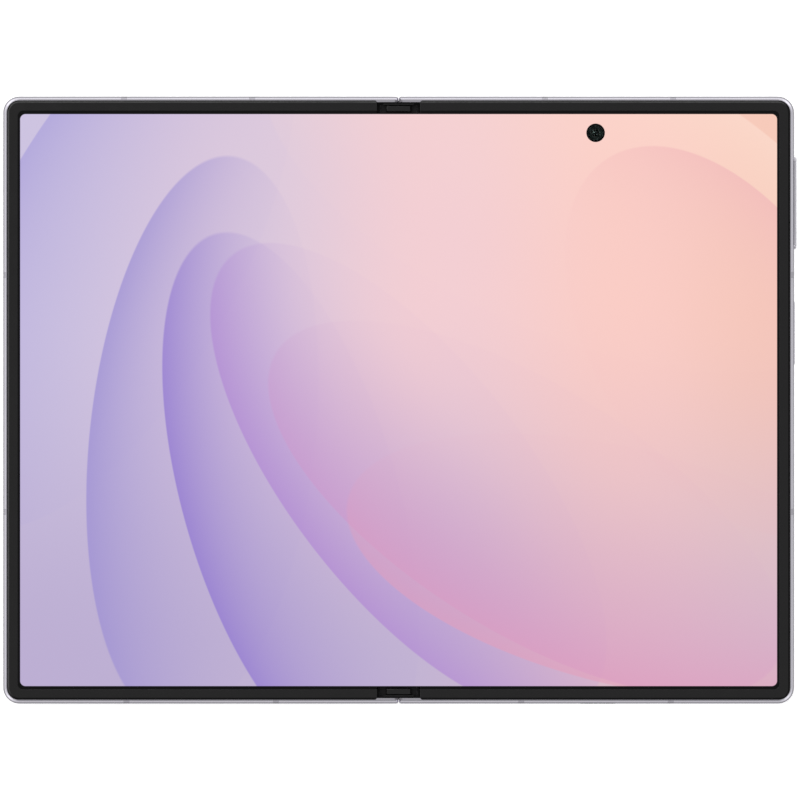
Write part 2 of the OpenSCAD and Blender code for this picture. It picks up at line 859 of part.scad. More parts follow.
module left_board() {
    color([0.10, 0.32, 0.22]) lift() difference() {
        box([-77, 20.5, 2.3], [-10, 59.5, 2.9]);
        translate([-half_middle, cover_camera_y, 0]) cylinder(h = 5, r = 4.6);
        box([-78, 50, 0], [-52, 60, 5]);
    }
}

module top_speaker() {
    color([0.18, 0.18, 0.20]) lift() box([-77.5, 50.5, 1.7], [-52.5, 59.8, 3.3]);
}

module vibration_motor() {
    color([0.66, 0.66, 0.68]) lift() box([-26, -59, 1.7], [-14, -46, 3.3]);
}

// The hole in the tray's front for a pin that pushes it out
module eject_hole() {
    translate([half_middle - 5.4, -wing_y, tray_z]) rotate([90, 0, 0])
        cylinder(h = 4, r = 0.4, center = true);
}

// Card tray with a flush front that follows the metal band
module card_tray() {
    color([0.80, 0.78, 0.82]) lift() side(-1) {
        difference() {
            intersection() {
                slot_y(-wing_y - 1, -wing_y + 1.0, half_middle, tray_z, tray_half);
                rim_sweep(20) band_profile();
            }
            eject_hole();
        }
        difference() {
            box([half_middle - 6.3, -wing_y + 0.9, 1.85], [half_middle + 6.3, -46, 2.85]);
            box([half_middle - 5.6, -wing_y + 2.3, 2.2], [half_middle + 5.6, -46.8, 4]);
            eject_hole();
        }
    }
}

// ---- Buttons ----

module side_button(y, length, out) {
    slot_x(wing_x - 1.9, wing_x + out, y, button_z, [length / 2, button_half]);
    box([wing_x - 2.1, y - length / 2 + 0.5, button_z - 0.8],
        [wing_x - 1.6, y + length / 2 - 0.5, button_z + 0.8]);
}

module volume_button() {
    color([0.78, 0.76, 0.80]) lift() side_button(volume_y, volume_length, volume_out);
}

module power_button() {
    color([0.78, 0.76, 0.80]) lift() side_button(power_y, power_length, power_out);
}

module side_key_switches() {
    color([0.80, 0.50, 0.18]) lift() {
        box([77.4, 5, 1.2], [77.6, 17, 3.3]);
        box([77.4, 20.2, 1.2], [77.6, 51, 3.3]);
        for (y = [volume_y - 6, volume_y + 6, power_y])
            translate([77.6, y, button_z]) rotate([0, 90, 0]) cylinder(h = 0.6, r = 0.8);
    }
}

spine_cover();
hinge_bracket_top();
hinge_bracket_bottom();
sync_bracket();
hinge_cap_top();
hinge_cap_bottom();
fold_support_strip();
gear_shafts();
torque_springs();
spine_screws();
display_fold();
hinge_flex_cables();
idler_gear_1();
idler_gear_2();
idler_gear_3();
idler_gear_4();
right_frame();
right_bezel();
display_right();
right_support_plate();
right_wing_plate();
right_rotator_top();
right_rotator_bottom();
right_sync_rotator();
right_antenna_inlays();
right_arm_screws();
rear_glass();
camera_island();
camera_rings();
camera_lens_glass();
rear_cameras();
flash_led();
inner_camera();
main_board();
board_shields();
right_battery();
charge_port();
charge_board();
bottom_speaker();
side_key_switches();
volume_button();
power_button();
left_frame();
left_bezel();
display_left();
left_support_plate();
left_wing_plate();
left_rotator_top();
left_rotator_bottom();
left_sync_rotator();
left_antenna_inlays();
left_arm_screws();
cover_glass();
cover_display();
cover_camera();
left_battery();
left_board();
top_speaker();
vibration_motor();
card_tray();
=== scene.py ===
# %% [markdown]
# # A foldable phone in Blender
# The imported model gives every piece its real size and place. This notebook keeps the metal frames and
# the parts inside as they are and gives them finishes, and it models again the pieces that people
# look at: the bending screen, bezels, buttons, glass, camera island and lenses.

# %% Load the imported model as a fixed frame
import json
import math
import bmesh
import bpy
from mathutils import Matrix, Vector


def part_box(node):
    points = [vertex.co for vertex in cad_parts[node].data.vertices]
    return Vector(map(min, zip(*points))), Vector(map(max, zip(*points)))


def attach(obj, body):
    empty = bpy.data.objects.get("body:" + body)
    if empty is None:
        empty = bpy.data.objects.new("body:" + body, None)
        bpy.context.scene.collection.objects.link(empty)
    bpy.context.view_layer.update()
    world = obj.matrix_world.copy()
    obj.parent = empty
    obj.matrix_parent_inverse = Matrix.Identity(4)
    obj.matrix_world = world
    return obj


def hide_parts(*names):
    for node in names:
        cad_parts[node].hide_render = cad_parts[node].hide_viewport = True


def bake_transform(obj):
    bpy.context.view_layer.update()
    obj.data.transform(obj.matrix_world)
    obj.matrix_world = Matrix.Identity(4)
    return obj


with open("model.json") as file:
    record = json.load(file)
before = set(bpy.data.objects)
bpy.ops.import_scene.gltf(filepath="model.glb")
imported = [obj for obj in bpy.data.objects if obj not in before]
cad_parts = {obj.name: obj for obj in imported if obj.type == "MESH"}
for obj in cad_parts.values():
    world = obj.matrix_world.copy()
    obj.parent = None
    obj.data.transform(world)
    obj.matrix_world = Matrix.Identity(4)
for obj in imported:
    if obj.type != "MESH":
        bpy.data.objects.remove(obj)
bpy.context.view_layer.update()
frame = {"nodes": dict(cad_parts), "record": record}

MM = 0.001

# %% [markdown]
# ## Working by hand, in code
# Each new piece starts as a primitive at its size and place, is shaped in edit mode, and ends with
# its object at the origin. Sizes and places are written in millimetres, as a maker would say them,
# and the helpers turn them into the metres that the scene uses. One helper picks faces or edges by
# a test on their place, and others bevel what is picked, draw a face in step by step, or cut one
# piece with another.

# %% Helpers for objects
def deselect_all():
    bpy.ops.object.select_all(action="DESELECT")


def only(piece):
    """Makes one object the selected and active one."""
    deselect_all()
    piece.select_set(True)
    bpy.context.view_layer.objects.active = piece


def named(name):
    """Names the new primitive and moves its place, turn and scale into its mesh."""
    piece = bpy.context.object
    piece.name = piece.data.name = name
    only(piece)
    bpy.ops.object.transform_apply(location=True, rotation=True, scale=True)
    return piece


def real_box(node_name):
    """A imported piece's lowest and highest corners at rest, in millimetres."""
    low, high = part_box(node_name)
    return Vector(low) / MM, Vector(high) / MM


def real_middle(node_name):
    low, high = real_box(node_name)
    return (low + high) / 2


deselect_all()

# %% Helpers for edit mode
def edit(piece):
    only(piece)
    bpy.ops.object.mode_set(mode="EDIT")


def done():
    bpy.ops.object.mode_set(mode="OBJECT")


def pick(kind, test):
    """In edit mode, selects the vertices, edges or faces that pass a test, and nothing else."""
    bpy.ops.mesh.select_mode(type=kind)
    bpy.ops.mesh.select_all(action="DESELECT")
    mesh = bmesh.from_edit_mesh(bpy.context.object.data)
    for item in {"VERT": mesh.verts, "EDGE": mesh.edges, "FACE": mesh.faces}[kind]:
        if test(item):
            item.select_set(True)
    bmesh.update_edit_mesh(bpy.context.object.data)


def middle(edge):
    """The middle of an edge, in millimetres."""
    return (edge.verts[0].co + edge.verts[1].co) / (2 * MM)


def runs(edge, axis):
    """True where an edge runs along X, Y or Z."""
    along = (edge.verts[1].co - edge.verts[0].co).normalized()
    return abs(along["XYZ".index(axis)]) > 0.999


def faces(face, axis, way):
    """True where a face looks along +X, -X and so on."""
    return face.normal["XYZ".index(axis)] * way > 0.9


def sharp(edge, least=60):
    """True where two faces meet at a clear angle."""
    return len(edge.link_faces) == 2 and edge.calc_face_angle(0) > math.radians(least)


def low_rim(z, centre=(0, 0), reach=math.inf):
    """A test for sharp edges at a piece's foot, within reach of a point seen from above."""
    def test(edge):
        place = middle(edge)
        apart = math.hypot(place.x - centre[0], place.y - centre[1])
        return sharp(edge) and place.z < z + 0.01 and apart < reach
    return test

# %% Helpers for shaping
def bevel(piece, test, width, segments=3):
    """Rounds the edges that pass a test."""
    edit(piece)
    pick("EDGE", test)
    bpy.ops.mesh.bevel(offset=width * MM, segments=segments, affect="EDGES")
    done()
    return piece


def bisect(piece, place, normal, clear=False):
    """Cuts a piece along a plane. With clear, the half behind the plane goes and the cut is closed."""
    edit(piece)
    bpy.ops.mesh.select_all(action="SELECT")
    bpy.ops.mesh.bisect(plane_co=Vector(place) * MM, plane_no=normal, clear_inner=clear,
                        use_fill=clear, threshold=1e-7)
    done()
    return piece


def draw_in(piece, axis, steps):
    """Insets the face that looks along an axis and raises it, step by step."""
    edit(piece)
    pick("FACE", lambda f: faces(f, axis, 1))
    for inset, rise in steps:
        bpy.ops.mesh.inset(thickness=inset * MM, depth=rise * MM)
    done()
    return piece


def terrace(piece, way, steps):
    """From the end that looks up (1) or down (-1): insets the face and sinks it, step by step."""
    edit(piece)
    pick("FACE", lambda f: faces(f, "Z", way))
    for inset, sink in steps:
        bpy.ops.mesh.inset(thickness=inset * MM, depth=0)
        bpy.ops.mesh.extrude_region_move(TRANSFORM_OT_translate={"value": (0, 0, -way * sink * MM)})
    done()
    return piece


def strips(piece, side, reach, step):
    """Cuts a piece across in even steps from the fold, so that it can bend there."""
    for count in range(1, round(reach / step) + 1):
        bisect(piece, (side * count * step, 0, 0), (1, 0, 0))


def cut(piece, cutter, operation="DIFFERENCE"):
    """Takes one shape out of another, or joins them, and throws the second away."""
    only(piece)
    tool = piece.modifiers.new("cut", "BOOLEAN")
    tool.operation = operation
    tool.object = cutter
    tool.solver = "EXACT"
    bpy.ops.object.modifier_apply(modifier=tool.name)
    bpy.data.objects.remove(cutter)
    return piece

# %% Helpers for starting shapes
def slab(name, low, high):
    """A block between two corners."""
    low, high = Vector(low) * MM, Vector(high) * MM
    bpy.ops.mesh.primitive_cube_add(size=1, location=(low + high) / 2, scale=high - low)
    return named(name)


def disc(name, centre, radius, depth, sides=64):
    """A round plate that stands on its centre point."""
    place = (Vector(centre) + Vector((0, 0, depth / 2))) * MM
    bpy.ops.mesh.primitive_cylinder_add(vertices=sides, radius=radius * MM, depth=depth * MM,
                                        location=place)
    return named(name)


def rod(name, start, radius, length, sides=96):
    """A round bar along Y from its starting point."""
    place = (Vector(start) + Vector((0, length / 2, 0))) * MM
    bpy.ops.mesh.primitive_cylinder_add(vertices=sides, radius=radius * MM, depth=length * MM,
                                        location=place, rotation=(math.pi / 2, 0, 0))
    return named(name)


def stadium(name, centre, half_width, half_length, depth, sides=96):
    """A round plate drawn out along Y: each half of a disc is moved away from the middle."""
    piece = disc(name, centre, half_width, depth, sides)
    edit(piece)
    for way in (-1, 1):
        pick("VERT", lambda v: (v.co.y / MM - centre[1]) * way > half_width * 0.01)
        bpy.ops.transform.translate(value=(0, way * (half_length - half_width) * MM, 0))
    done()
    return piece


def dome(name, centre, radius, rise, way):
    """A shallow lens cut from a large ball; it bulges up (1) or down (-1)."""
    ball = (radius ** 2 + rise ** 2) / (2 * rise)
    place = Vector((centre[0], centre[1], centre[2] + way * (rise - ball)))
    bpy.ops.mesh.primitive_uv_sphere_add(segments=48, ring_count=120, radius=ball * MM,
                                         location=place * MM)
    return bisect(named(name), centre, (0, 0, way), clear=True)

# %% Helpers for copies
def copied(piece, name, move=(0, 0, 0), flip=(1, 1, 1)):
    """A copy with its own mesh, moved, or mirrored about the middle of the phone."""
    only(piece)
    bpy.ops.object.duplicate()
    copy = bpy.context.object
    copy.name = copy.data.name = name
    edit(copy)
    bpy.ops.mesh.select_all(action="SELECT")
    if min(flip) < 0:
        bpy.ops.transform.resize(value=flip, center_override=(0, 0, 0))
        bpy.ops.mesh.normals_make_consistent(inside=False)
    bpy.ops.transform.translate(value=Vector(move) * MM)
    done()
    return copy


AS_MADE = (1, 1, 1)
MIRROR_X = (-1, 1, 1)
MIRROR_Y = (1, -1, 1)

# %% [markdown]
# ## Nodes for finishes
# A finish here is a Principled shader with patterns that drive its colour, roughness and bump. The
# patterns could be painted images, but noise and waves worked out on the object's own coordinates
# stay sharp close up, and stay put when a wing folds. Values that are the same all over sit on the
# shader itself. Colours are written as they look on a display, from 0 to 255, and turned into the
# linear values that shaders use.

# %% Helpers for nodes
finishes = {}


def tone(red, green, blue):
    """A display colour from 0 to 255 as the linear colour that a shader takes."""
    def linear(c):
        c = c / 255
        return c / 12.92 if c <= 0.04045 else ((c + 0.055) / 1.055) ** 2.4
    return (linear(red), linear(green), linear(blue), 1)


def new_finish(name, colour, metallic=0.0, roughness=0.5, **sockets):
    """A material with a Principled shader, kept by its name. A socket's name has _ for a space."""
    finish = bpy.data.materials.new(name)
    finish.use_nodes = True
    shader = finish.node_tree.nodes["Principled BSDF"]
    shader.inputs["Base Color"].default_value = colour
    shader.inputs["Metallic"].default_value = metallic
    shader.inputs["Roughness"].default_value = roughness
    for socket, value in sockets.items():
        shader.inputs[socket.replace("_", " ")].default_value = value
    finishes[name] = finish
    print("finish:", name)
    return finish


def node(finish, kind, wires=None, **settings):
    """Adds a node; wires gives each input a value or the output that feeds it."""
    made = finish.node_tree.nodes.new("ShaderNode" + kind)
    for setting, value in settings.items():
        setattr(made, setting, value)
    for socket, value in (wires or {}).items():
        if isinstance(value, bpy.types.NodeSocket):
            finish.node_tree.links.new(value, made.inputs[socket])
        else:
            made.inputs[socket].default_value = value
    return made


def feed(finish, socket, output):
    """Feeds one of the Principled shader's inputs."""
    shader = finish.node_tree.nodes["Principled BSDF"]
    finish.node_tree.links.new(output, shader.inputs[socket])

# %% Helpers for sums and colours
def maths(finish, operation, first, second=0.0):
    """A sum on one or two numbers."""
    return node(finish, "Math", {0: first, 1: second}, operation=operation).outputs["Value"]


def vector(finish, operation, first, second=(0, 0, 0), result="Vector"):
    """A sum on one or two vectors."""
    return node(finish, "VectorMath", {0: first, 1: second}, operation=operation).outputs[result]


def inside(finish, spot, middle, half, turn=0.0):
    """Coordinates that run from -1 to 1 across a box with this middle and half size."""
    wires = {"Vector": spot, "Location": middle, "Rotation": (0, 0, turn), "Scale": half}
    return node(finish, "Mapping", wires, vector_type="TEXTURE").outputs["Vector"]


def fade(finish, value, start, end, low=0.0, high=1.0, kind="LINEAR"):
    """Low where the value is at start, high where it is at end, and held there past both."""
    wires = {"Value": value, "From Min": start, "From Max": end, "To Min": low, "To Max": high}
    return node(finish, "MapRange", wires, interpolation_type=kind).outputs["Result"]


def mix(finish, share, first, second):
    """Mixes two colours by a share from 0 to 1."""
    wires = {0: share, 6: first, 7: second}
    return node(finish, "Mix", wires, data_type="RGBA").outputs[2]


def ramp(finish, value, stops):
    """A colour ramp through (place, colour) stops."""
    made = node(finish, "ValToRGB", {"Fac": value})
    made.color_ramp.interpolation = "EASE"
    while len(made.color_ramp.elements) < len(stops):
        made.color_ramp.elements.new(0.5)
    for element, (place, colour) in zip(made.color_ramp.elements, stops):
        element.position = place
        element.color = colour
    return made.outputs["Color"]

# %% Helpers for patterns
def own_place(finish):
    return node(finish, "TexCoord").outputs["Object"]


def place_on(finish, stretch=(1, 1, 1)):
    """The object's own coordinates, squeezed or drawn out to give a pattern its grain."""
    return node(finish, "Mapping", {"Vector": own_place(finish), "Scale": stretch}).outputs["Vector"]


def noise(finish, size, stretch=(1, 1, 1), detail=3.0):
    """Noise whose blobs are about the given size, in metres."""
    wires = {"Vector": place_on(finish, stretch), "Scale": 1 / size, "Detail": detail}
    return node(finish, "TexNoise", wires).outputs["Fac"]


def dented(finish, height, depth, strength=1.0):
    """Bump of the given depth."""
    wires = {"Height": height, "Strength": strength, "Distance": depth}
    feed(finish, "Normal", node(finish, "Bump", wires).outputs["Normal"])


def grain(finish, size, depth, stretch=(1, 1, 1), strength=1.0):
    """Fine bump of the given size and depth."""
    dented(finish, noise(finish, size, stretch), depth, strength)


def worn(finish, size, low, high, stretch=(1, 1, 1)):
    """Roughness that wanders between two values, as on a surface that is handled."""
    feed(finish, "Roughness", fade(finish, noise(finish, size, stretch, 5.0), 0.25, 0.75, low, high))


def mottled(finish, size, first, second, stretch=(1, 1, 1)):
    """Colour that wanders between two close tones."""
    share = fade(finish, noise(finish, size, stretch, 4.0), 0.25, 0.75)
    feed(finish, "Base Color", mix(finish, share, first, second))

# %% [markdown]
# ## Metals
# The band is aluminium, blasted with fine beads and anodised: pale lavender, satin, with a bloom of
# slightly different roughness where it is handled. A plain grey metal would look like a mirror, so
# fine bump and wandering roughness break up what it reflects. The breaks in it are plastic with a
# metallic paint to match, so they share its recipe. The hinge's steel is rolled and ground, which
# leaves long fine lines, so its noise is drawn out along the grain.

# %% Satin metals
def satin_metal(name, light, dark, rough):
    finish = new_finish(name, light, metallic=1.0)
    mottled(finish, 9 * MM, light, dark)
    worn(finish, 3 * MM, rough - 0.03, rough + 0.04)
    grain(finish, 0.07 * MM, 0.003 * MM, strength=0.5)


satin_metal("frame_metal", tone(224, 221, 230), tone(219, 216, 226), 0.14)
# button_metal is the band's metal made paler, which paints extra light onto the buttons
satin_metal("button_metal", tone(236, 233, 241), tone(231, 228, 237), 0.30)
satin_metal("antenna_plastic", tone(197, 194, 203), tone(191, 188, 197), 0.18)
satin_metal("ring_metal", tone(212, 208, 216), tone(204, 200, 209), 0.13)
satin_metal("fastener_steel", tone(186, 188, 192), tone(172, 174, 179), 0.24)
satin_metal("gear_brass", tone(214, 186, 118), tone(196, 166, 100), 0.26)

# %% Ground metals
def brushed_metal(name, light, dark, rough, along):
    """Ground metal; along is how far the grain is drawn out on each axis."""
    finish = new_finish(name, light, metallic=1.0)
    mottled(finish, 0.35 * MM, light, dark, along)
    worn(finish, 0.5 * MM, rough - 0.06, rough + 0.08, along)
    grain(finish, 0.05 * MM, 0.006 * MM, along, 0.5)


LINES_X = (0.04, 1, 1)
LINES_Y = (1, 0.04, 1)
brushed_metal("spine_metal", tone(214, 210, 220), tone(205, 201, 212), 0.28, LINES_Y)
brushed_metal("hinge_steel", tone(150, 152, 156), tone(128, 130, 135), 0.34, LINES_X)
brushed_metal("plate_steel", tone(176, 178, 182), tone(160, 162, 167), 0.30, LINES_Y)
brushed_metal("port_metal", tone(168, 168, 172), tone(150, 150, 155), 0.26, LINES_Y)
brushed_metal("shield_tin", tone(200, 201, 204), tone(186, 187, 191), 0.36, LINES_X)

# %% [markdown]
# ## Plastics
# The bezels are moulded in black with a fine texture. The caps at the ends of the fold are the same black
# plastic, made darker, duller and rougher as painted shade for the recess round the caps. Behind the sound
# holes lies a fine cloth; two crossed waves make its threads.

# %% Moulded plastics
def moulded(name, light, dark, rough, size=0.05 * MM, depth=0.004 * MM, gloss=0.5):
    finish = new_finish(name, light, Specular_IOR_Level=gloss)
    mottled(finish, 4 * MM, light, dark)
    worn(finish, 2 * MM, rough - 0.05, rough + 0.06)
    grain(finish, size, depth, strength=0.7)


moulded("bezel_plastic", tone(20, 19, 20), tone(17, 16, 17), 0.18)
# cap_plastic is the bezel plastic made darker and less glossy: painted shade for the recess round the caps
moulded("cap_plastic", tone(15, 14, 16), tone(11, 10, 12), 0.42, gloss=0.2)
moulded("seal_rubber", tone(140, 137, 143), tone(130, 127, 133), 0.5)
moulded("speaker_plastic", tone(30, 30, 33), tone(22, 22, 25), 0.55, 0.12 * MM, 0.01 * MM)
moulded("camera_black", tone(11, 11, 12), tone(7, 7, 8), 0.36, 0.04 * MM, 0.002 * MM, 0.2)
moulded("cover_panel", tone(8, 8, 10), tone(5, 5, 7), 0.3)


def woven_mesh():
    finish = new_finish("speaker_mesh", tone(26, 26, 29), roughness=0.5)
    waves = []
    for way in ("X", "Z"):
        wires = {"Vector": place_on(finish), "Scale": 1 / (1.2 * MM), "Distortion": 0.0}
        waves.append(node(finish, "TexWave", wires, bands_direction=way).outputs["Fac"])
    threads = maths(finish, "MAXIMUM", *waves)
    feed(finish, "Base Color", mix(finish, threads, tone(8, 8, 9), tone(52, 52, 56)))
    dented(finish, threads, 0.03 * MM)


woven_mesh()

# %% [markdown]
# ## Glass, lenses and light
# The back of the wing with the cameras is glass painted from behind and etched matt, so it is a soft sheen
# over a pale colour. The other back is polished glass over a dark panel, whose lit area is a shade deeper
# than its border. The lens windows are clear. The lenses behind them carry coatings that tint what they
# reflect, and a paler ring of painted sheen runs round each pupil.

# %% Glass finishes
# The cover display's lit area ends between these two shares of the glass's half size
COVER_LIT_X = (0.945, 0.95)
COVER_LIT_Y = (0.968, 0.971)


def etched_glass():
    light, dark = tone(222, 217, 231), tone(216, 211, 226)
    finish = new_finish("rear_glass", light, metallic=0.25, Coat_Weight=0.25, Coat_Roughness=0.3)
    mottled(finish, 20 * MM, light, dark)
    worn(finish, 6 * MM, 0.34, 0.42)
    grain(finish, 0.04 * MM, 0.002 * MM, strength=0.5)


def polished_glass():
    finish = new_finish("cover_glass", tone(9, 9, 11), Coat_Weight=1.0, Coat_Roughness=0.03)
    low, high = real_box("cover_glass")
    spot = inside(finish, own_place(finish), real_middle("cover_glass") * MM, (high - low) / 2 * MM)
    across = node(finish, "SeparateXYZ", {"Vector": vector(finish, "ABSOLUTE", spot)}).outputs
    border = maths(finish, "MAXIMUM", fade(finish, across["X"], *COVER_LIT_X),
                   fade(finish, across["Y"], *COVER_LIT_Y))
    panel = mix(finish, noise(finish, 30 * MM), tone(5, 5, 8), tone(8, 8, 12))
    feed(finish, "Base Color", mix(finish, border, panel, tone(12, 12, 14)))
    worn(finish, 12 * MM, 0.05, 0.14)


etched_glass()
polished_glass()

# %% Lens finishes
def clear_glass(name, bend):
    finish = new_finish(name, tone(240, 243, 246), roughness=0.0, IOR=bend, Transmission_Weight=1.0)
    worn(finish, 4 * MM, 0.0, 0.03)


def coated_lens(name, centre, radius, glass, glow, tint, gloss):
    """A dark lens with a paler ring, a painted sheen of its coatings, between its pupil and its rim."""
    finish = new_finish(name, glass, roughness=0.04, Specular_IOR_Level=gloss, Specular_Tint=tint)
    spot = inside(finish, own_place(finish), Vector(centre) * MM, (radius * MM,) * 3)
    far = vector(finish, "LENGTH", spot, result="Value")
    black = tone(4, 5, 6)
    feed(finish, "Base Color", ramp(finish, far, [(0.0, black), (0.30, black), (0.38, glow),
                                                  (0.62, glass), (0.9, glass), (1.0, black)]))


def flash_diffuser():
    # The faint emission is a painted glow: the flash gives no light in this scene
    finish = new_finish("flash_lens", tone(246, 232, 188), roughness=0.2, Transmission_Weight=0.25,
                        Emission_Color=tone(255, 236, 190), Emission_Strength=0.05)
    mottled(finish, 0.9 * MM, tone(250, 240, 206), tone(240, 221, 168))
    grain(finish, 0.15 * MM, 0.01 * MM)


clear_glass("lens_glass", 1.3)
clear_glass("bloomed_glass", 1.1)
flash_diffuser()

# %% [markdown]
# ## What is inside
# Boards have a green mask with the copper tracks showing through as paler lines; a brick pattern with
# thin joints stands for the tracks. The batteries are foil pouches with soft creases. The flat
# cables are amber film with fine copper lines along them; the ones that bend across the fold take
# their lines from their UV map, which bends with them.

# %% Finishes of the parts inside
def solder_mask():
    finish = new_finish("board_green", tone(22, 84, 60), roughness=0.35, Coat_Weight=0.4)
    wires = {"Vector": place_on(finish), "Scale": 1 / (2 * MM), "Mortar Size": 0.03, "Bias": -0.2}
    tracks = node(finish, "TexBrick", wires, offset=0.37, squash=0.6).outputs["Fac"]
    feed(finish, "Base Color", mix(finish, tracks, tone(20, 80, 58), tone(74, 140, 96)))
    dented(finish, tracks, 0.02 * MM, 0.6)


def foil_pouch():
    finish = new_finish("battery_foil", tone(44, 44, 48), metallic=0.3)
    mottled(finish, 12 * MM, tone(46, 46, 50), tone(36, 36, 40))
    worn(finish, 5 * MM, 0.28, 0.42)
    grain(finish, 2.5 * MM, 0.12 * MM, strength=0.5)


def amber_film(name, spot_of, line):
    finish = new_finish(name, tone(196, 120, 48), roughness=0.3, Coat_Weight=0.5)
    wires = {"Vector": spot_of(finish), "Scale": 1 / line, "Distortion": 0.0}
    lines = node(finish, "TexWave", wires, bands_direction="Y").outputs["Fac"]
    feed(finish, "Base Color", mix(finish, lines, tone(150, 84, 30), tone(206, 132, 62)))
    dented(finish, lines, 0.01 * MM, 0.5)


def by_uv(finish):
    return node(finish, "UVMap", uv_map="UVMap").outputs["UV"]


solder_mask()
foil_pouch()
amber_film("flex_copper", place_on, 1.6 * MM)
amber_film("bending_film", by_uv, 0.05)
print("finishes:", len(finishes))

# %% [markdown]
# ## The picture on the screen
# The screen is lit, so its picture is light that the surface gives off, under a gloss that reflects
# the room. It is a fan of wide translucent petals over a field that runs from lavender to peach.
# Each petal is an ellipse: a Mapping node turns and squeezes the surface so that the ellipse becomes
# a circle of radius one, and the vector's length then says what lies inside. That keeps the edges
# sharp at any distance. The picture is laid by the screen's own UV map, so it bends with the screen.

# %% Sizes of the screen
screen_low, screen_top = real_box("display_right")
SCREEN_X = screen_top.x
SCREEN_Y = screen_top.y
LIT_HALF = (77.15, 58.3)
LIT_CORNER = 1.1
LIT_BLUR = 0.04
PETAL_BLUR = 0.12
print("half of the screen in mm:", round(SCREEN_X, 2), round(SCREEN_Y, 2))

# %% The field behind the petals
def field(finish, across, up):
    """Lavender on the left to peach on the right, cooler along the bottom."""
    upper = ramp(finish, across, [(0.0, tone(206, 196, 226)), (0.3, tone(222, 203, 222)),
                                  (0.55, tone(244, 207, 212)), (0.8, tone(252, 206, 198)),
                                  (1.0, tone(248, 203, 186))])
    lower = ramp(finish, across, [(0.0, tone(189, 175, 212)), (0.5, tone(195, 180, 212)),
                                  (0.8, tone(222, 188, 202)), (1.0, tone(215, 189, 204))])
    return mix(finish, fade(finish, up, 0.7, 0.05, kind="SMOOTHSTEP"), upper, lower)

# %% One petal
def petal(finish, picture, spot, middle_mm, half_mm, turn, colour, most):
    """Lays an ellipse over the picture; it is deepest by its rim and fades across its width."""
    own = inside(finish, spot, (*middle_mm, 0), (*half_mm, 1), math.radians(turn))
    far = vector(finish, "LENGTH", own, result="Value")
    blur = PETAL_BLUR / min(half_mm)
    mask = fade(finish, far, 1 + blur, 1 - blur)
    side = node(finish, "SeparateXYZ", {"Vector": own}).outputs["Y"]
    shade = fade(finish, side, -0.75, 1.0, 0.03, most, "SMOOTHSTEP")
    rim = fade(finish, maths(finish, "POWER", far, 3.0), 0.0, 1.0, 0.5, 1.0)
    share = maths(finish, "MULTIPLY", maths(finish, "MULTIPLY", mask, shade), rim)
    return mix(finish, share, picture, colour)


# Each petal: middle, half sizes in mm, turn in degrees, colour, and the most that it covers
PETALS = [
    ((-58, 30), (62, 26), 62, tone(170, 160, 220), 0.72),
    ((-40, -8), (58, 23), 84, tone(154, 140, 212), 0.74),
    ((-22, -20), (56, 22), 106, tone(146, 120, 210), 0.80),
    ((2, -16), (58, 24), 128, tone(176, 130, 212), 0.66),
    ((26, -22), (60, 25), 148, tone(206, 152, 204), 0.60),
    ((46, -34), (58, 24), 166, tone(228, 158, 186), 0.58),
    ((34, 44), (66, 30), -24, tone(255, 224, 210), 0.60),
    ((66, 12), (44, 26), -58, tone(238, 172, 182), 0.50),
]

# %% The lit area and its black border
def lit_area(finish, spot):
    """One inside the rounded rectangle that lights up, nought in the black border round it."""
    size = (LIT_HALF[0] - LIT_CORNER, LIT_HALF[1] - LIT_CORNER, 0)
    past = vector(finish, "SUBTRACT", vector(finish, "ABSOLUTE", spot), size)
    far = vector(finish, "LENGTH", vector(finish, "MAXIMUM", past), result="Value")
    return fade(finish, far, LIT_CORNER + LIT_BLUR, LIT_CORNER - LIT_BLUR)


def screen_picture():
    finish = new_finish("screen", tone(3, 3, 4), roughness=0.10, Emission_Strength=0.98,
                        Specular_IOR_Level=0.22)
    uv = by_uv(finish)
    across = node(finish, "SeparateXYZ", {"Vector": uv})
    wires = {0: uv, 1: (2 * SCREEN_X, 2 * SCREEN_Y, 0), 2: (-SCREEN_X, -SCREEN_Y, 0)}
    spot = node(finish, "VectorMath", wires, operation="MULTIPLY_ADD").outputs["Vector"]
    picture = field(finish, across.outputs["X"], across.outputs["Y"])
    for middle_mm, half_mm, turn, colour, most in PETALS:
        picture = petal(finish, picture, spot, middle_mm, half_mm, turn, colour, most)
    feed(finish, "Emission Color", mix(finish, lit_area(finish, spot), (0, 0, 0, 1), picture))


screen_picture()
print("picture nodes:", len(finishes["screen"].node_tree.nodes))

# %% [markdown]
# ## Finishing a piece
# A rounded edge only looks right if the flat faces beside it stay flat in the shading. So a piece is
# shaded smoothly up to an angle, and a Weighted Normal modifier lets the largest faces decide. A
# piece that bends is left without it, and is laid out on a UV map that bends with it.

# %% Helpers that finish a piece
def smooth(piece, finish, angle=32, weigh=True):
    """Shades faces smoothly up to an angle and gives the piece its finish."""
    only(piece)
    bpy.ops.object.shade_smooth_by_angle(angle=math.radians(angle))
    if weigh:
        even = piece.modifiers.new("even", "WEIGHTED_NORMAL")
        even.weight = 100
        even.keep_sharp = True
        bpy.ops.object.modifier_apply(modifier=even.name)
    piece.data.materials.clear()
    piece.data.materials.append(finishes[finish])
    size = [round(v / MM, 2) for v in piece.dimensions]
    print(piece.name, size, "mm,", len(piece.data.polygons), "faces")


def settle(piece, body, slot, finish=None, stands_for=(), angle=32):
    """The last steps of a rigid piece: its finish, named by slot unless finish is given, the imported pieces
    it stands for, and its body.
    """
    smooth(piece, finish or slot, angle)
    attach(piece, body)
    if stands_for:
        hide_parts(*stands_for)


def spread_uv(piece):
    """Lays the UV map from above: the screen's whole width and length fill it."""
    corners = piece.data.uv_layers.active.data
    for loop in piece.data.loops:
        place = piece.data.vertices[loop.vertex_index].co / MM
        corners[loop.index].uv = (0.5 + place.x / (2 * SCREEN_X), 0.5 + place.y / (2 * SCREEN_Y))


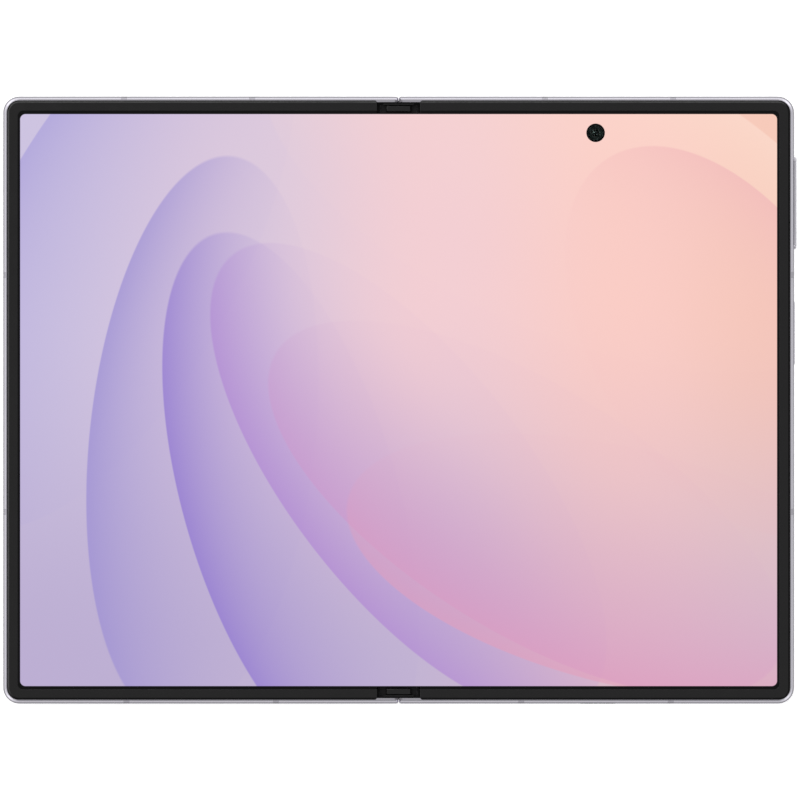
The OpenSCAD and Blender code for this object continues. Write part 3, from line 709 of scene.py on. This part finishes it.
def settle_bending(piece, finish, stands_for):
    """The last steps of a piece that is to bend: its UV map, its finish, its place moved into its mesh, and
    the imported pieces it stands for.
    """
    spread_uv(piece)
    smooth(piece, finish, angle=14, weigh=False)
    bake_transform(piece)
    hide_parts(*stands_for)

# %% [markdown]
# ## The bending screen
# One laminate lies across both wings. It is made as two halves that meet over the spine, because a
# piece can bend between two bodies only. Each half is a thin block with rounded outer corners, a
# notch at each end of the fold for the hinge caps. A flat face can't bend, so each half is cut into
# fine strips beside the fold. The camera looks out through a hole in the right half. A shallow
# trough along the fold is the crease.

# %% Sizes of the bend
NOTCH_HALF = (4.45, 58.45)
NOTCH_CORNER = 0.3
SCREEN_CORNER = 1.67
BEND_HALF = real_box("display_fold")[1].x
BEND_STEP = 0.25
CREASE_DEPTH = 0.035
CREASE_HALF = 1.8
EYE = real_middle("inner_camera") - Vector((0.12, 0, 0))
EYE_HOLE = 1.9
PAST = 10  # how far a cutter reaches past what it cuts
SIDES = {"right": 1, "left": -1}


def span(side, near, far):
    """From near to far on one side of the middle, in rising order."""
    return sorted((side * near, side * far))


print("bend starts", round(BEND_HALF, 2), "mm out, camera hole at", [round(v, 2) for v in EYE])

# %% Build the screen halves
def screen_half(name, side):
    x = span(side, 0, SCREEN_X)
    piece = slab(name, (x[0], -SCREEN_Y, screen_low.z), (x[1], SCREEN_Y, screen_top.z))
    bevel(piece, lambda e: runs(e, "Z") and abs(middle(e).x) > 1, SCREEN_CORNER, 8)
    for end in (-1, 1):
        y = span(end, NOTCH_HALF[1], NOTCH_HALF[1] + PAST)
        notch = slab("notch", (-NOTCH_HALF[0], y[0], 0), (NOTCH_HALF[0], y[1], PAST))
        bevel(notch, lambda e: runs(e, "Z"), NOTCH_CORNER, 4)
        cut(piece, notch)
    if side > 0:
        cut(piece, disc("hole", (EYE.x, EYE.y, 0), EYE_HOLE, PAST))
    top = screen_top.z - 0.01
    bevel(piece, lambda e: sharp(e) and middle(e).z > top and abs(middle(e).x) > 0.01, 0.06, 2)
    strips(piece, side, BEND_HALF, BEND_STEP)
    for vertex in piece.data.vertices:
        if vertex.co.z / MM > (screen_low.z + screen_top.z) / 2:
            vertex.co.z -= CREASE_DEPTH * MM * math.exp(-(vertex.co.x / MM / CREASE_HALF) ** 2)
    return piece


for side_name, side in SIDES.items():
    half = screen_half("screen_" + side_name, side)
    settle_bending(half, "screen",
                   ["display_" + side_name, "display_fold"])

# %% [markdown]
# ## Bezels
# A black moulding stands up round the screen on each wing and stops short of the fold, so that the
# wings can close. It shows two slim slopes beside the metal and a flat strip beside the screen, and
# reaches a little over the screen's edge. It could be swept round a path, but a block whose top is
# inset and raised twice keeps each slope the same width round the corners. A window is cut through
# it, and a recess from below for the screen's edge. The ends are cut square, with a slanted corner
# beside the metal. The left one is the right one's mirror image.

# %% Sizes of the bezel
BEZEL_SLOPES = [(0.18, 0.095), (0.22, 0.08)]
BEZEL_CORNER = 2.39
# Half width, half length and corner of the window and of the recess under its edge
WINDOW = (77.6, 58.95, 1.0)
RECESS = (79.15, 60.4, 1.72)
RECESS_TOP = 6.48
BEZEL_END = 4.35
BEZEL_SLANT = 0.39


def plan_cutter(half_x, half_y, corner, high):
    """A block with rounded outer corners that reaches back past the fold and down past the bezel."""
    piece = slab("cutter", (-PAST, -half_y, high - PAST), (half_x, half_y, high))
    return bevel(piece, lambda e: runs(e, "Z") and middle(e).x > 0, corner, 8)


print("slopes rise by", round(sum(step for inset, step in BEZEL_SLOPES), 3), "mm")

# %% Build the bezels
def bezel_blank(name):
    low, high = real_box("right_bezel")
    rise = sum(step for inset, step in BEZEL_SLOPES)
    piece = slab(name, (-5, low.y, low.z), (high.x, high.y, high.z - rise))
    bevel(piece, lambda e: runs(e, "Z") and middle(e).x > 0, BEZEL_CORNER, 10)
    return draw_in(piece, "Z", BEZEL_SLOPES)


def bezel(name):
    piece = bezel_blank(name)
    high = real_box("right_bezel")[1]
    cut(piece, plan_cutter(*WINDOW, high.z + 1))
    cut(piece, plan_cutter(*RECESS, RECESS_TOP))
    bisect(piece, (BEZEL_END, 0, 0), (1, 0, 0), clear=True)
    for end in (-1, 1):
        bisect(piece, (BEZEL_END, end * (high.y - BEZEL_SLANT), 0), (1, -end, 0), clear=True)
    return bevel(piece, lambda e: sharp(e, 40) and middle(e).z > RECESS_TOP + 0.02, 0.08, 3)


bezel_right = bezel("bezel_right")
bezel_left = copied(bezel_right, "bezel_left", flip=MIRROR_X)
for piece, side_name in ((bezel_right, "right"), (bezel_left, "left")):
    settle(piece, side_name + "_wing", "bezel_plastic", stands_for=[side_name + "_bezel"], angle=12)

# %% [markdown]
# ## Caps at the ends of the fold
# Each end of the spine is closed by a dark cap that shows between the bezel ends. It has a round
# belly that fills the spine's channel. On it stand a ridge with sloped sides and a thin lip, and a
# flat skirt round it covers the spine's rim. Each is a block of its own, because simple shapes keep
# clean edges and can have a finish each. The upper ones are mirrored to the lower end.

# %% Sizes of the caps
FOLD_AXIS_Z = 5.4
cap_low, cap_high = real_box("hinge_cap_top")
# Half width, outer end, underside and top of the skirt; then half width, inner and outer end,
# and top of the ridge and of the lip
SKIRT = (4.166, 60.72, 4.72, 5.1)
RIDGE = (2.65, 58.75, 60.1, 6.5)
RIDGE_TAPER = (0.9, 0.78, 1)
LIP = (3.1, 60.21, 60.44, 6.5)
print("cap in mm:", [round(v, 2) for v in cap_high - cap_low])

# %% Build the caps
def cap_block(name):
    """The belly: a block whose two low edges are rounded away."""
    piece = slab(name, cap_low, (cap_high.x, cap_high.y, FOLD_AXIS_Z))
    return bevel(piece, lambda e: runs(e, "Y") and middle(e).z < FOLD_AXIS_Z - 1,
                 FOLD_AXIS_Z - cap_low.z - 0.01, 10)


def cap_ridge(name):
    """The raised middle: its top is drawn in on all sides and its edges are softened."""
    half_x, low_y, high_y, top = RIDGE
    piece = slab(name, (-half_x, low_y, FOLD_AXIS_Z - 0.1), (half_x, high_y, top))
    edit(piece)
    pick("FACE", lambda f: faces(f, "Z", 1))
    bpy.ops.transform.resize(value=RIDGE_TAPER)
    done()
    return bevel(piece, lambda e: middle(e).z > top - 0.01, 0.06, 3)


def cap_skirt(name):
    """The flat skirt, open in the middle for the cap."""
    half_x, out_y, low_z, high_z = SKIRT
    piece = slab(name, (-half_x, cap_low.y, low_z), (half_x, out_y, high_z))
    bevel(piece, lambda e: runs(e, "Z"), 0.1, 3)
    open_x = cap_high.x + 0.02
    return cut(piece, slab("opening", (-open_x, cap_low.y - 1, 0), (open_x, cap_high.y - 0.01, PAST)))


def cap_lip(name):
    """The thin lip that stands along the skirt's outer edge, its top softened."""
    half_x, low_y, high_y, top = LIP
    piece = slab(name, (-half_x, low_y, SKIRT[3] - 0.2), (half_x, high_y, top))
    return bevel(piece, lambda e: middle(e).z > top - 0.01, 0.03, 2)

# %% Settle the caps
# The belly and the skirt take cap_plastic, the bezel plastic with painted shade; the ridge and the lip take
# the bezel plastic itself
for name, build, finish, packed in (("cap", cap_block, "cap_plastic", True),
                                    ("ridge", cap_ridge, "bezel_plastic", True),
                                    ("skirt", cap_skirt, "cap_plastic", False),
                                    ("lip", cap_lip, "bezel_plastic", False)):
    upper = build("fold_" + name + "_top")
    lower = copied(upper, "fold_" + name + "_bottom", flip=MIRROR_Y)
    for piece, end in ((upper, "top"), (lower, "bottom")):
        stands_for = ["hinge_cap_" + end] if packed else ()
        settle(piece, "spine", "cap_plastic", finish, stands_for)

# %% [markdown]
# ## Seals where the wings meet
# The band's ends come together at the fold and roll on each other as the phone opens. A grey rubber
# strip lies over each rounded end behind the band, and the left one reaches across the joint. A dark
# strip under each bezel end keeps light out beside the caps. Each is shaped at the upper right and
# copied or mirrored to its places, so that all four ends fit alike.

# %% Sizes of the seals
AXIS_X = 1.35
END_RADIUS = 1.3
SEAL_THICK = 0.03
SEAL_Y = (60.78, 61.12)
SEAL_REACH = 0.72
SEAL_LOW = 2.0
SEAL_OUT = 0.07
SEAL_SET_IN = 0.02
# Inner and outer side, underside and top of the strip under the bezel's end
FOOT = (4.06, 4.45, 3.95, 4.3)
print("seal is", round(SEAL_Y[1] - SEAL_Y[0], 2), "mm wide")

# %% Build the seals
def fold_seal(reach_in):
    """A strip over the right wing's rounded end, with a flat part below that reaches to reach_in."""
    low_y, high_y = SEAL_Y
    piece = rod("seal", (AXIS_X, low_y, FOLD_AXIS_Z), END_RADIUS + SEAL_THICK, high_y - low_y)
    cut(piece, rod("bore", (AXIS_X, low_y - 1, FOLD_AXIS_Z), END_RADIUS - SEAL_SET_IN, PAST))
    bisect(piece, (SEAL_REACH, 0, 0), (-1, 0, 0), clear=True)
    bisect(piece, (0, 0, FOLD_AXIS_Z), (0, 0, 1), clear=True)
    flat = slab("flat", (reach_in, low_y, SEAL_LOW), (SEAL_OUT, high_y, FOLD_AXIS_Z + 0.01))
    return cut(piece, flat, "UNION")


def bezel_foot():
    """A dark strip below the bezel's end and the bending screen, which closes the gap to the skirt."""
    low_x, high_x, low_z, high_z = FOOT
    piece = slab("foot", (low_x, cap_low.y, low_z), (high_x, SKIRT[1], high_z))
    return bevel(piece, lambda e: runs(e, "Y"), 0.03, 2)


def at_both_ends(first, name, flip, *settings):
    """Settles a copy of a piece at each end of the fold, and throws the first one away."""
    for end, end_flip in (("top", AS_MADE), ("bottom", MIRROR_Y)):
        ways = [a * b for a, b in zip(flip, end_flip)]
        settle(copied(first, name + "_" + end, flip=ways), *settings)
    bpy.data.objects.remove(first)


for side_name, flip, reach_in in (("right", AS_MADE, 0.022), ("left", MIRROR_X, -0.014)):
    wing = side_name + "_wing"
    at_both_ends(fold_seal(reach_in), "fold_seal_" + side_name, flip, wing, "antenna_plastic", "seal_rubber")
    # The strip under each bezel end takes cap_plastic, the darker copy of the bezel plastic that paints
    # shade there
    at_both_ends(bezel_foot(), "fold_foot_" + side_name, flip, wing, "bezel_plastic", "cap_plastic")

# %% [markdown]
# ## Side buttons
# A button is a bar with round ends. A block's four long edges are rounded until its ends are half
# circles, then its outer face is drawn in to a bright chamfer with softened corners. A smaller block
# on its inner side presses the switches. The long button sets the volume and the short one is
# nearly flush.

# %% Build the buttons
CHAMFER = [(0.02, 0.05), (0.24, 0.19), (0.09, 0.03)]
CHAMFER_RISE = sum(rise for inset, rise in CHAMFER)
PLUNGER_SHOWS = 0.2
PLUNGER_IN = Vector((0, 0.5, 0.15))


def side_button(name, node_name):
    low, high = real_box(node_name)
    piece = slab(name, (low.x + PLUNGER_SHOWS, low.y, low.z), (high.x - CHAMFER_RISE, high.y, high.z))
    bevel(piece, lambda e: runs(e, "X"), (high.z - low.z) / 2 - 0.05, 12)
    draw_in(piece, "X", CHAMFER)
    top = Vector((low.x + 0.5, high.y, high.z))
    return cut(piece, slab("plunger", low + PLUNGER_IN, top - PLUNGER_IN), "UNION")


for name, node_name in (("volume_key", "volume_button"), ("power_key", "power_button")):
    settle(side_button(name, node_name), node_name, "button_metal", stands_for=[node_name])

# %% [markdown]
# ## Backs
# Both backs are sheets of glass with round corners, and their outer edges are ground to a soft
# curve. The corners are rounded first, so that the ground edge runs round them in one strip. The
# right sheet has an opening for the camera island. The left one has a round clear spot for a
# camera, which is cut out here and filled by a window further on.

# %% Build the backs
GLASS_CORNER = 2.1
GLASS_EDGE = 0.35
ISLAND_GAP = 0.05
COVER_EYE = real_middle("cover_camera")
COVER_EYE_HOLE = 1.95


def back_glass(name, node_name):
    low, high = real_box(node_name)
    piece = slab(name, low, high)
    bevel(piece, lambda e: runs(e, "Z"), GLASS_CORNER, 10)
    return bevel(piece, low_rim(low.z), GLASS_EDGE, 5)


def island_shape(name, grow, low_z, depth):
    low, high = real_box("camera_island")
    x, y, z = real_middle("camera_island")
    half = (high - low) / 2
    return stadium(name, (x, y, low_z), half.x + grow, half.y + grow, depth)


rear = back_glass("back_right", "rear_glass")
cut(rear, island_shape("hole", ISLAND_GAP, 0, PAST))
settle(rear, "right_wing", "rear_glass", stands_for=["rear_glass"])
cover = back_glass("back_left", "cover_glass")
cut(cover, disc("hole", (COVER_EYE.x, COVER_EYE.y, 0), COVER_EYE_HOLE, PAST))
bevel(cover, low_rim(real_box("cover_glass")[0].z, COVER_EYE, COVER_EYE_HOLE + 0.05), 0.04, 2)
settle(cover, "left_wing", "cover_glass", stands_for=["cover_glass"])

# %% [markdown]
# ## Camera island
# The island is a metal plate with round ends that stands out of the back. Its rim is rounded first.
# The openings for two lenses and a flash are then cut one by one, and each one's edge is rounded
# while it is easy to pick. Round each lens lies a raised ring with a bright outer edge and a slope
# that leads in to the glass.

# %% Sizes of the cameras
LENS_PLACES = {"upper": (66.5, 47.0), "lower": (66.5, 30.0)}
LENS_HOLE = 5.6
FLASH_PLACE = (66.5, 17.5)
FLASH_HOLE = 1.7
FIT = 0.03  # how much smaller a window is than its hole

# %% Build the island
def camera_island(name):
    low, high = real_box("camera_island")
    piece = island_shape(name, 0, low.z, high.z - low.z)
    bevel(piece, low_rim(low.z), 0.4, 5)
    places = [(place, LENS_HOLE) for place in LENS_PLACES.values()] + [(FLASH_PLACE, FLASH_HOLE)]
    for place, radius in places:
        cut(piece, disc("hole", (*place, -1), radius, PAST, 96))
        bevel(piece, low_rim(low.z, place, radius + 0.1), 0.1, 3)
    return piece


settle(camera_island("camera_plate"), "right_wing", "frame_metal", stands_for=["camera_island"])

# %% Build the rings
RING_RADIUS = 7
RING_HEIGHT = 0.4


def lens_ring(name, place):
    piece = disc(name, (*place, 0), RING_RADIUS, RING_HEIGHT, 128)
    bevel(piece, low_rim(0), 0.16, 4)
    cut(piece, disc("hole", (*place, -1), LENS_HOLE, PAST, 128))
    return bevel(piece, low_rim(0), 0.3, 1)


for name, place in LENS_PLACES.items():
    ring = lens_ring("lens_ring_" + name, place)
    settle(ring, "right_wing", "ring_metal", stands_for=["camera_rings"], angle=28)

# %% [markdown]
# ## Rear cameras
# Behind each window sits a black barrel that steps inwards, with a domed lens at its end and the
# square housing of the camera behind. The steps could be stacked rings, but one face that is inset
# and sunk again and again stays one closed mesh. The lens is the cap of a large ball.

# %% Build the windows and barrels
BARREL_RADIUS = 5.3
BARREL_LOW = 0.7
BARREL_DEPTH = 2.4
HOUSING_HALF = 6
HOUSING_LOW = 2.8
BARREL_STEPS = [(0.5, 0.12), (0.25, 0.18), (0.75, 0.25), (0.25, 0.2), (0.45, 0.3)]
BARREL_EYE = BARREL_RADIUS - sum(inset for inset, sink in BARREL_STEPS)
LENS_Z = BARREL_LOW + sum(sink for inset, sink in BARREL_STEPS)
LENS_RISE = 0.55


def lens_window(name, place):
    low, high = real_box("camera_lens_glass")
    piece = disc(name, (*place, low.z), LENS_HOLE - FIT, high.z - low.z, 96)
    return bevel(piece, low_rim(low.z), 0.07, 2)


def housing(place, half, corner, low_z, high_z, segments):
    """A square block with rounded corners, centred on a place."""
    x, y = place[0], place[1]
    piece = slab("housing", (x - half, y - half, low_z), (x + half, y + half, high_z))
    return bevel(piece, lambda e: runs(e, "Z"), corner, segments)


def camera_body(name, place):
    piece = disc(name, (*place, BARREL_LOW), BARREL_RADIUS, BARREL_DEPTH, 96)
    terrace(piece, -1, BARREL_STEPS)
    top = real_box("rear_cameras")[1].z
    return cut(piece, housing(place, HOUSING_HALF, 0.8, HOUSING_LOW, top, 4), "UNION")


for name, place in LENS_PLACES.items():
    window = lens_window("lens_window_" + name, place)
    settle(window, "right_wing", "lens_glass", stands_for=["camera_lens_glass"])
    body = camera_body("rear_camera_" + name, place)
    settle(body, "right_wing", "camera_black", stands_for=["rear_cameras"])

# %% Build the rear lenses
# Each look: the glass tone, the paler ring that paints the coatings' sheen, the tint of reflections, and the
# gloss
LENS_LOOKS = {
    "upper": (tone(24, 18, 44), tone(52, 36, 92), tone(176, 138, 255), 0.8),
    "lower": (tone(16, 24, 44), tone(34, 54, 96), tone(140, 170, 255), 0.8),
}
for name, place in LENS_PLACES.items():
    finish = "rear_lens_" + name
    coated_lens(finish, (*place, LENS_Z), BARREL_EYE, *LENS_LOOKS[name])
    lens = dome(finish, (*place, LENS_Z + 0.02), BARREL_EYE - 0.05, LENS_RISE, -1)
    settle(lens, "right_wing", "lens_glass", finish, stands_for=["rear_cameras"])
print("lens radius:", round(BARREL_EYE, 2), "its height:", round(LENS_Z, 2))

# %% [markdown]
# ## Flash
# The flash is a small diffuser with rings moulded into its face, which spread the light. They are
# real insets that go down and up in turn, because bump alone would leave the face flat from the side.

# %% Build the flash
FLASH_RINGS = [(0.22, 0.06), (0.2, -0.06)] * 2 + [(0.22, 0.06)]


def flash_lens(name):
    low, high = real_box("flash_led")
    piece = disc(name, (*FLASH_PLACE, low.z), FLASH_HOLE - FIT, high.z - low.z)
    return terrace(piece, -1, FLASH_RINGS)


settle(flash_lens("flash_diffuser"), "right_wing", "flash_lens", stands_for=["flash_led"], angle=28)

# %% [markdown]
# ## Screen cameras
# One camera looks out through the hole in the folding screen, and one through the clear spot in the
# left back. Both are the same small camera: a stepped barrel on a wider base, a domed lens with a
# flat flange and a greenish coating, and a flat window on top. One function makes both, since only
# their heights and the way they look differ.

# %% Build the screen cameras
EYE_STEPS = [(0.2, 0.1), (0.14, 0.2)]
EYE_LENS = (0.76, 0.26)
FLANGE_DEPTH = 0.04
# The screen cameras' look: dark green glass with a paler ring of painted sheen
GREEN_LOOK = (tone(27, 33, 31), tone(31, 38, 35), tone(225, 255, 240), 0.3)


def eye(name, body, node_name, centre, way, radius, neck, base, window):
    """One screen camera; neck and window are spans of height, and base is sized as a housing is."""
    x, y = centre.x, centre.y
    barrel = disc(name + "_barrel", (x, y, neck[0]), radius, neck[1] - neck[0])
    terrace(barrel, way, EYE_STEPS)
    cut(barrel, housing(centre, *base, 8), "UNION")
    settle(barrel, body, "camera_black", stands_for=[node_name])
    pupil = radius - sum(inset for inset, sink in EYE_STEPS)
    floor = (neck[1] if way > 0 else neck[0]) - way * sum(sink for inset, sink in EYE_STEPS)
    top = floor + way * FLANGE_DEPTH
    coated_lens(name, (x, y, top), pupil, *GREEN_LOOK)
    lens = disc(name + "_lens", (x, y, min(floor - way * 0.02, top)), pupil - 0.01, FLANGE_DEPTH + 0.02)
    cut(lens, dome("bulge", (x, y, top - way * 0.005), *EYE_LENS, way), "UNION")
    settle(lens, body, "lens_glass", name, stands_for=[node_name])
    pane = disc(name + "_window", (x, y, window[0]), radius, window[1] - window[0])
    settle(pane, body, "lens_glass", "bloomed_glass", stands_for=[node_name])


eye("inner_eye", "right_wing", "inner_camera", EYE, 1, EYE_HOLE - 0.02,
    (5.6, 6.15), (2.87, 2.6, 4.7, 5.8), (6.18, 6.4))
eye("cover_eye", "left_wing", "cover_camera", COVER_EYE, -1, COVER_EYE_HOLE - 0.02,
    (2.42, 3.6), (3, 0.4, 3.5, 5.1), (1.82, 2.35))

# %% [markdown]
# ## Flat cables across the fold
# Two amber cables carry signals from wing to wing under the screen. Like the screen, each is made as two
# halves, one on each side of the fold, cut into fine strips where it is to bend. The strips stop nearer the
# fold than the cable's end, so that the folded cable lies between the wing's floor and its plate.

# %% Build the cables
CABLE_BEND = 7.3
CABLE_STEP = 0.4
CABLE_HALF = 5
cable_low, cable_high = real_box("hinge_flex_cables")
ENDS = {"top": 1, "bottom": -1}


def cable_half(name, side, end):
    x = span(side, 0, cable_high.x)
    y = span(end, cable_high.y - 2 * CABLE_HALF, cable_high.y)
    piece = slab(name, (x[0], y[0], cable_low.z), (x[1], y[1], cable_high.z))
    bevel(piece, lambda e: runs(e, "Z") and abs(middle(e).x) > 1, 0.5, 3)
    strips(piece, side, CABLE_BEND + CABLE_STEP, CABLE_STEP)
    return piece


for end_name, end in ENDS.items():
    for side_name, side in SIDES.items():
        cable = cable_half("cable_" + end_name + "_" + side_name, side, end)
        settle_bending(cable,
                       "bending_film", ["hinge_flex_cables"])

# %% [markdown]
# ## Small details behind the band
# In the charging socket stands a tongue with twelve gilt contacts on each face: one thin strip,
# which an Array modifier repeats at an exact pitch, and a copy of the row. Behind each row of sound
# holes lies a strip of mesh, whose threads are too fine to model and come from its finish.

# %% Build the contacts
def repeat(piece, count, offset):
    """Copies a piece in a row within its own mesh."""
    only(piece)
    row = piece.modifiers.new("row", "ARRAY")
    row.count = count
    row.use_relative_offset = False
    row.use_constant_offset = True
    row.constant_offset_displace = Vector(offset) * MM
    bpy.ops.object.modifier_apply(modifier=row.name)


PAD_PITCH = 0.5
PAD_COUNT = 12
PAD_HALF = 0.13
PAD_Y = (-60.7, -56.5)
PAD_THICK = 0.03
TONGUE_HALF = 0.35
port_middle = real_middle("charge_port")
pad_x = port_middle.x - PAD_PITCH * (PAD_COUNT - 1) / 2
pad_top = port_middle.z - TONGUE_HALF
pads = slab("socket_contacts", (pad_x - PAD_HALF, PAD_Y[0], pad_top - PAD_THICK),
            (pad_x + PAD_HALF, PAD_Y[1], pad_top))
bevel(pads, lambda e: middle(e).z < pad_top - 0.02, 0.015, 1)
repeat(pads, PAD_COUNT, (PAD_PITCH, 0, 0))
cut(pads, copied(pads, "upper", (0, 0, 2 * TONGUE_HALF + PAD_THICK)), "UNION")
settle(pads, "right_wing", "gear_brass")

# %% Build the meshes
# Each mesh: its middle along X, which end it is at, and its wing
MESHES = {"bottom": (65.5, -1, "right_wing"), "top": (-65.5, 1, "left_wing")}
MESH_HALF = 6.4
MESH_Y = (60.2, 60.4)
MESH_Z = (3.4, 5.0)
for name, (middle_x, end, body) in MESHES.items():
    y = span(end, *MESH_Y)
    mesh = slab("sound_mesh_" + name, (middle_x - MESH_HALF, y[0], MESH_Z[0]),
                (middle_x + MESH_HALF, y[1], MESH_Z[1]))
    bevel(mesh, lambda e: runs(e, "Y"), 0.5, 4)
    settle(mesh, body, "speaker_plastic", "speaker_mesh")

# %% [markdown]
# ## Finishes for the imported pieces
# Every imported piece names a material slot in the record, so one loop gives each its finish.

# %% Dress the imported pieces
for part in frame["record"]["subparts"]:
    packed = frame["nodes"][part["node"]]
    for place in packed.material_slots:
        place.material = finishes[part["material_slot"]]

# %% [markdown]
# ## Camera
# The photograph looks straight down on the open phone from far away: its sides show no convergence.
# A long lens does the same. The phone's outline is 790 of 800 pixels wide there, so the view is
# 163.4 mm across at the height of the band's widest line.

# %% Camera
LENS = 300
SENSOR = 36
VIEW_WIDTH = 163.36 * MM
VIEW_MIDDLE = (0.286 * MM, 0.02 * MM)
band_low, band_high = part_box("right_frame")
camera_data = bpy.data.cameras.new("camera")
camera_data.lens = LENS
camera_data.sensor_width = SENSOR
camera = bpy.data.objects.new("camera", camera_data)
bpy.context.scene.collection.objects.link(camera)
distance = VIEW_WIDTH * LENS / SENSOR
camera.location = (*VIEW_MIDDLE, (band_low.z + band_high.z) / 2 + distance)
camera_data.clip_start = 0.01
camera_data.clip_end = 20
bpy.context.scene.camera = camera
print("camera distance:", round(distance, 3), "m")

# %% [markdown]
# ## Studio
# The floor is plain white and glows a little, so that it stays white right up to the phone. The room
# is a soft dome whose brightness changes with height, as when a phone is photographed in a light
# tent: dim straight above, where the camera stands, bright round that on the window's side, dim
# near the table's edge and bright again below, which draws the lines along the round band. Lamps
# alone would leave the band black between their glints. The dome is brighter on one side and low in
# its corners, and two soft lamps put glints on the lenses.

# %% Brightness of the dome
# Brightness by height, from straight below (0) to straight above (1)
LOWER_DOME = [(0.0, 0.46), (0.10, 0.43), (0.20, 0.42), (0.37, 1.0), (0.44, 0.84), (0.53, 0.39),
              (0.63, 0.42), (0.68, 0.20), (0.72, 0.0)]
# The same above the phone: on the side of the window, and on the far side
BRIGHT_TOP = [(0.0, 0.0), (0.82, 0.0), (0.86, 3.0), (0.90, 3.0), (0.94, 0.5), (1.0, 0.42)]
DIM_TOP = [(0.0, 0.0), (0.76, 0.0), (0.82, 0.12), (0.93, 0.05), (0.975, 0.36), (1.0, 0.42)]
DOME_SIDE = (-0.39, 0.92, 0)
SIDE_RANGE = (0.74, 1.18)
WINDOW_SIDE = (-0.707, 0.707, 0)
WINDOW_RANGE = (-0.2, 0.3)
CORNER_RANGE = (0.25, -0.1)
CORNER_GLOW = 0.55
print("brightest in the dome:", max(level for place, level in LOWER_DOME + BRIGHT_TOP + DIM_TOP))

# %% Light dome
def by_height(world, share, stops):
    return ramp(world, share, [(place, (level, level, level, 1)) for place, level in stops])


def light_dome():
    world = bpy.data.worlds.new("dome")
    world.use_nodes = True
    bpy.context.scene.world = world
    way = node(world, "TexCoord").outputs["Generated"]
    parts = node(world, "SeparateXYZ", {"Vector": way}).outputs
    share = fade(world, parts["Z"], -1.0, 1.0)
    lean = vector(world, "DOT_PRODUCT", way, DOME_SIDE, "Value")
    side = fade(world, lean, -1.0, 1.0, *SIDE_RANGE)
    window = vector(world, "DOT_PRODUCT", way, WINDOW_SIDE, "Value")
    window = fade(world, window, *WINDOW_RANGE, kind="SMOOTHSTEP")
    top = mix(world, window, by_height(world, share, DIM_TOP), by_height(world, share, BRIGHT_TOP))
    corner = maths(world, "MULTIPLY", maths(world, "MULTIPLY", parts["X"], parts["Y"]), 2.0)
    corner = maths(world, "POWER", maths(world, "ABSOLUTE", corner), 4.0)
    low_down = fade(world, parts["Z"], *CORNER_RANGE, 0.0, CORNER_GLOW)
    corner = maths(world, "MULTIPLY", corner, low_down)
    glow = maths(world, "MULTIPLY", by_height(world, share, LOWER_DOME), side)
    glow = maths(world, "ADD", maths(world, "ADD", glow, top), corner)
    background = world.node_tree.nodes["Background"]
    background.inputs["Color"].default_value = (1, 1, 1, 1)
    world.node_tree.links.new(glow, background.inputs["Strength"])


light_dome()

# %% Floor
FLOOR_GLOW = 0.7
FLOOR_SIZE = 8


def floor_sheet():
    """A floor that is seen from above only, so that the phone's back can be looked at from below."""
    bpy.ops.mesh.primitive_plane_add(size=FLOOR_SIZE)
    floor = named("floor")
    finish = bpy.data.materials.new("floor")
    finish.use_nodes = True
    finish.node_tree.nodes.clear()
    white = node(finish, "BsdfDiffuse", {"Color": (0.9, 0.9, 0.905, 1)}).outputs["BSDF"]
    glow = node(finish, "Emission", {"Strength": FLOOR_GLOW}).outputs["Emission"]
    lit = node(finish, "AddShader", {0: white, 1: glow}).outputs["Shader"]
    clear = node(finish, "BsdfTransparent").outputs["BSDF"]
    below = node(finish, "NewGeometry").outputs["Backfacing"]
    both = node(finish, "MixShader", {0: below, 1: lit, 2: clear}).outputs["Shader"]
    out = node(finish, "OutputMaterial")
    finish.node_tree.links.new(both, out.inputs["Surface"])
    floor.data.materials.append(finish)
    for ray in ("diffuse", "glossy", "transmission", "shadow"):
        setattr(floor, "visible_" + ray, False)


floor_sheet()
print("floor:", FLOOR_SIZE, "m across")

# %% Lamps
# Each lamp: the way it stands, in degrees, and its power
LAMPS = [(135, 1.6), (315, 0.8)]
LAMP_HEIGHT = 0.78
LAMP_OUT = 0.58
LAMP_SIZE = 0.34


def soft_lamps():
    for turn, power in LAMPS:
        around = math.radians(turn)
        place = Vector((LAMP_OUT * math.cos(around), LAMP_OUT * math.sin(around), LAMP_HEIGHT))
        bpy.ops.object.light_add(type="AREA", location=place)
        lamp = bpy.context.object
        lamp.rotation_euler = (-place).to_track_quat("-Z", "Y").to_euler()
        lamp.data.size = LAMP_SIZE
        lamp.data.energy = power


soft_lamps()
bpy.context.scene.view_settings.view_transform = "Standard"
print("lamps:", len(LAMPS), "at", LAMP_HEIGHT, "m")
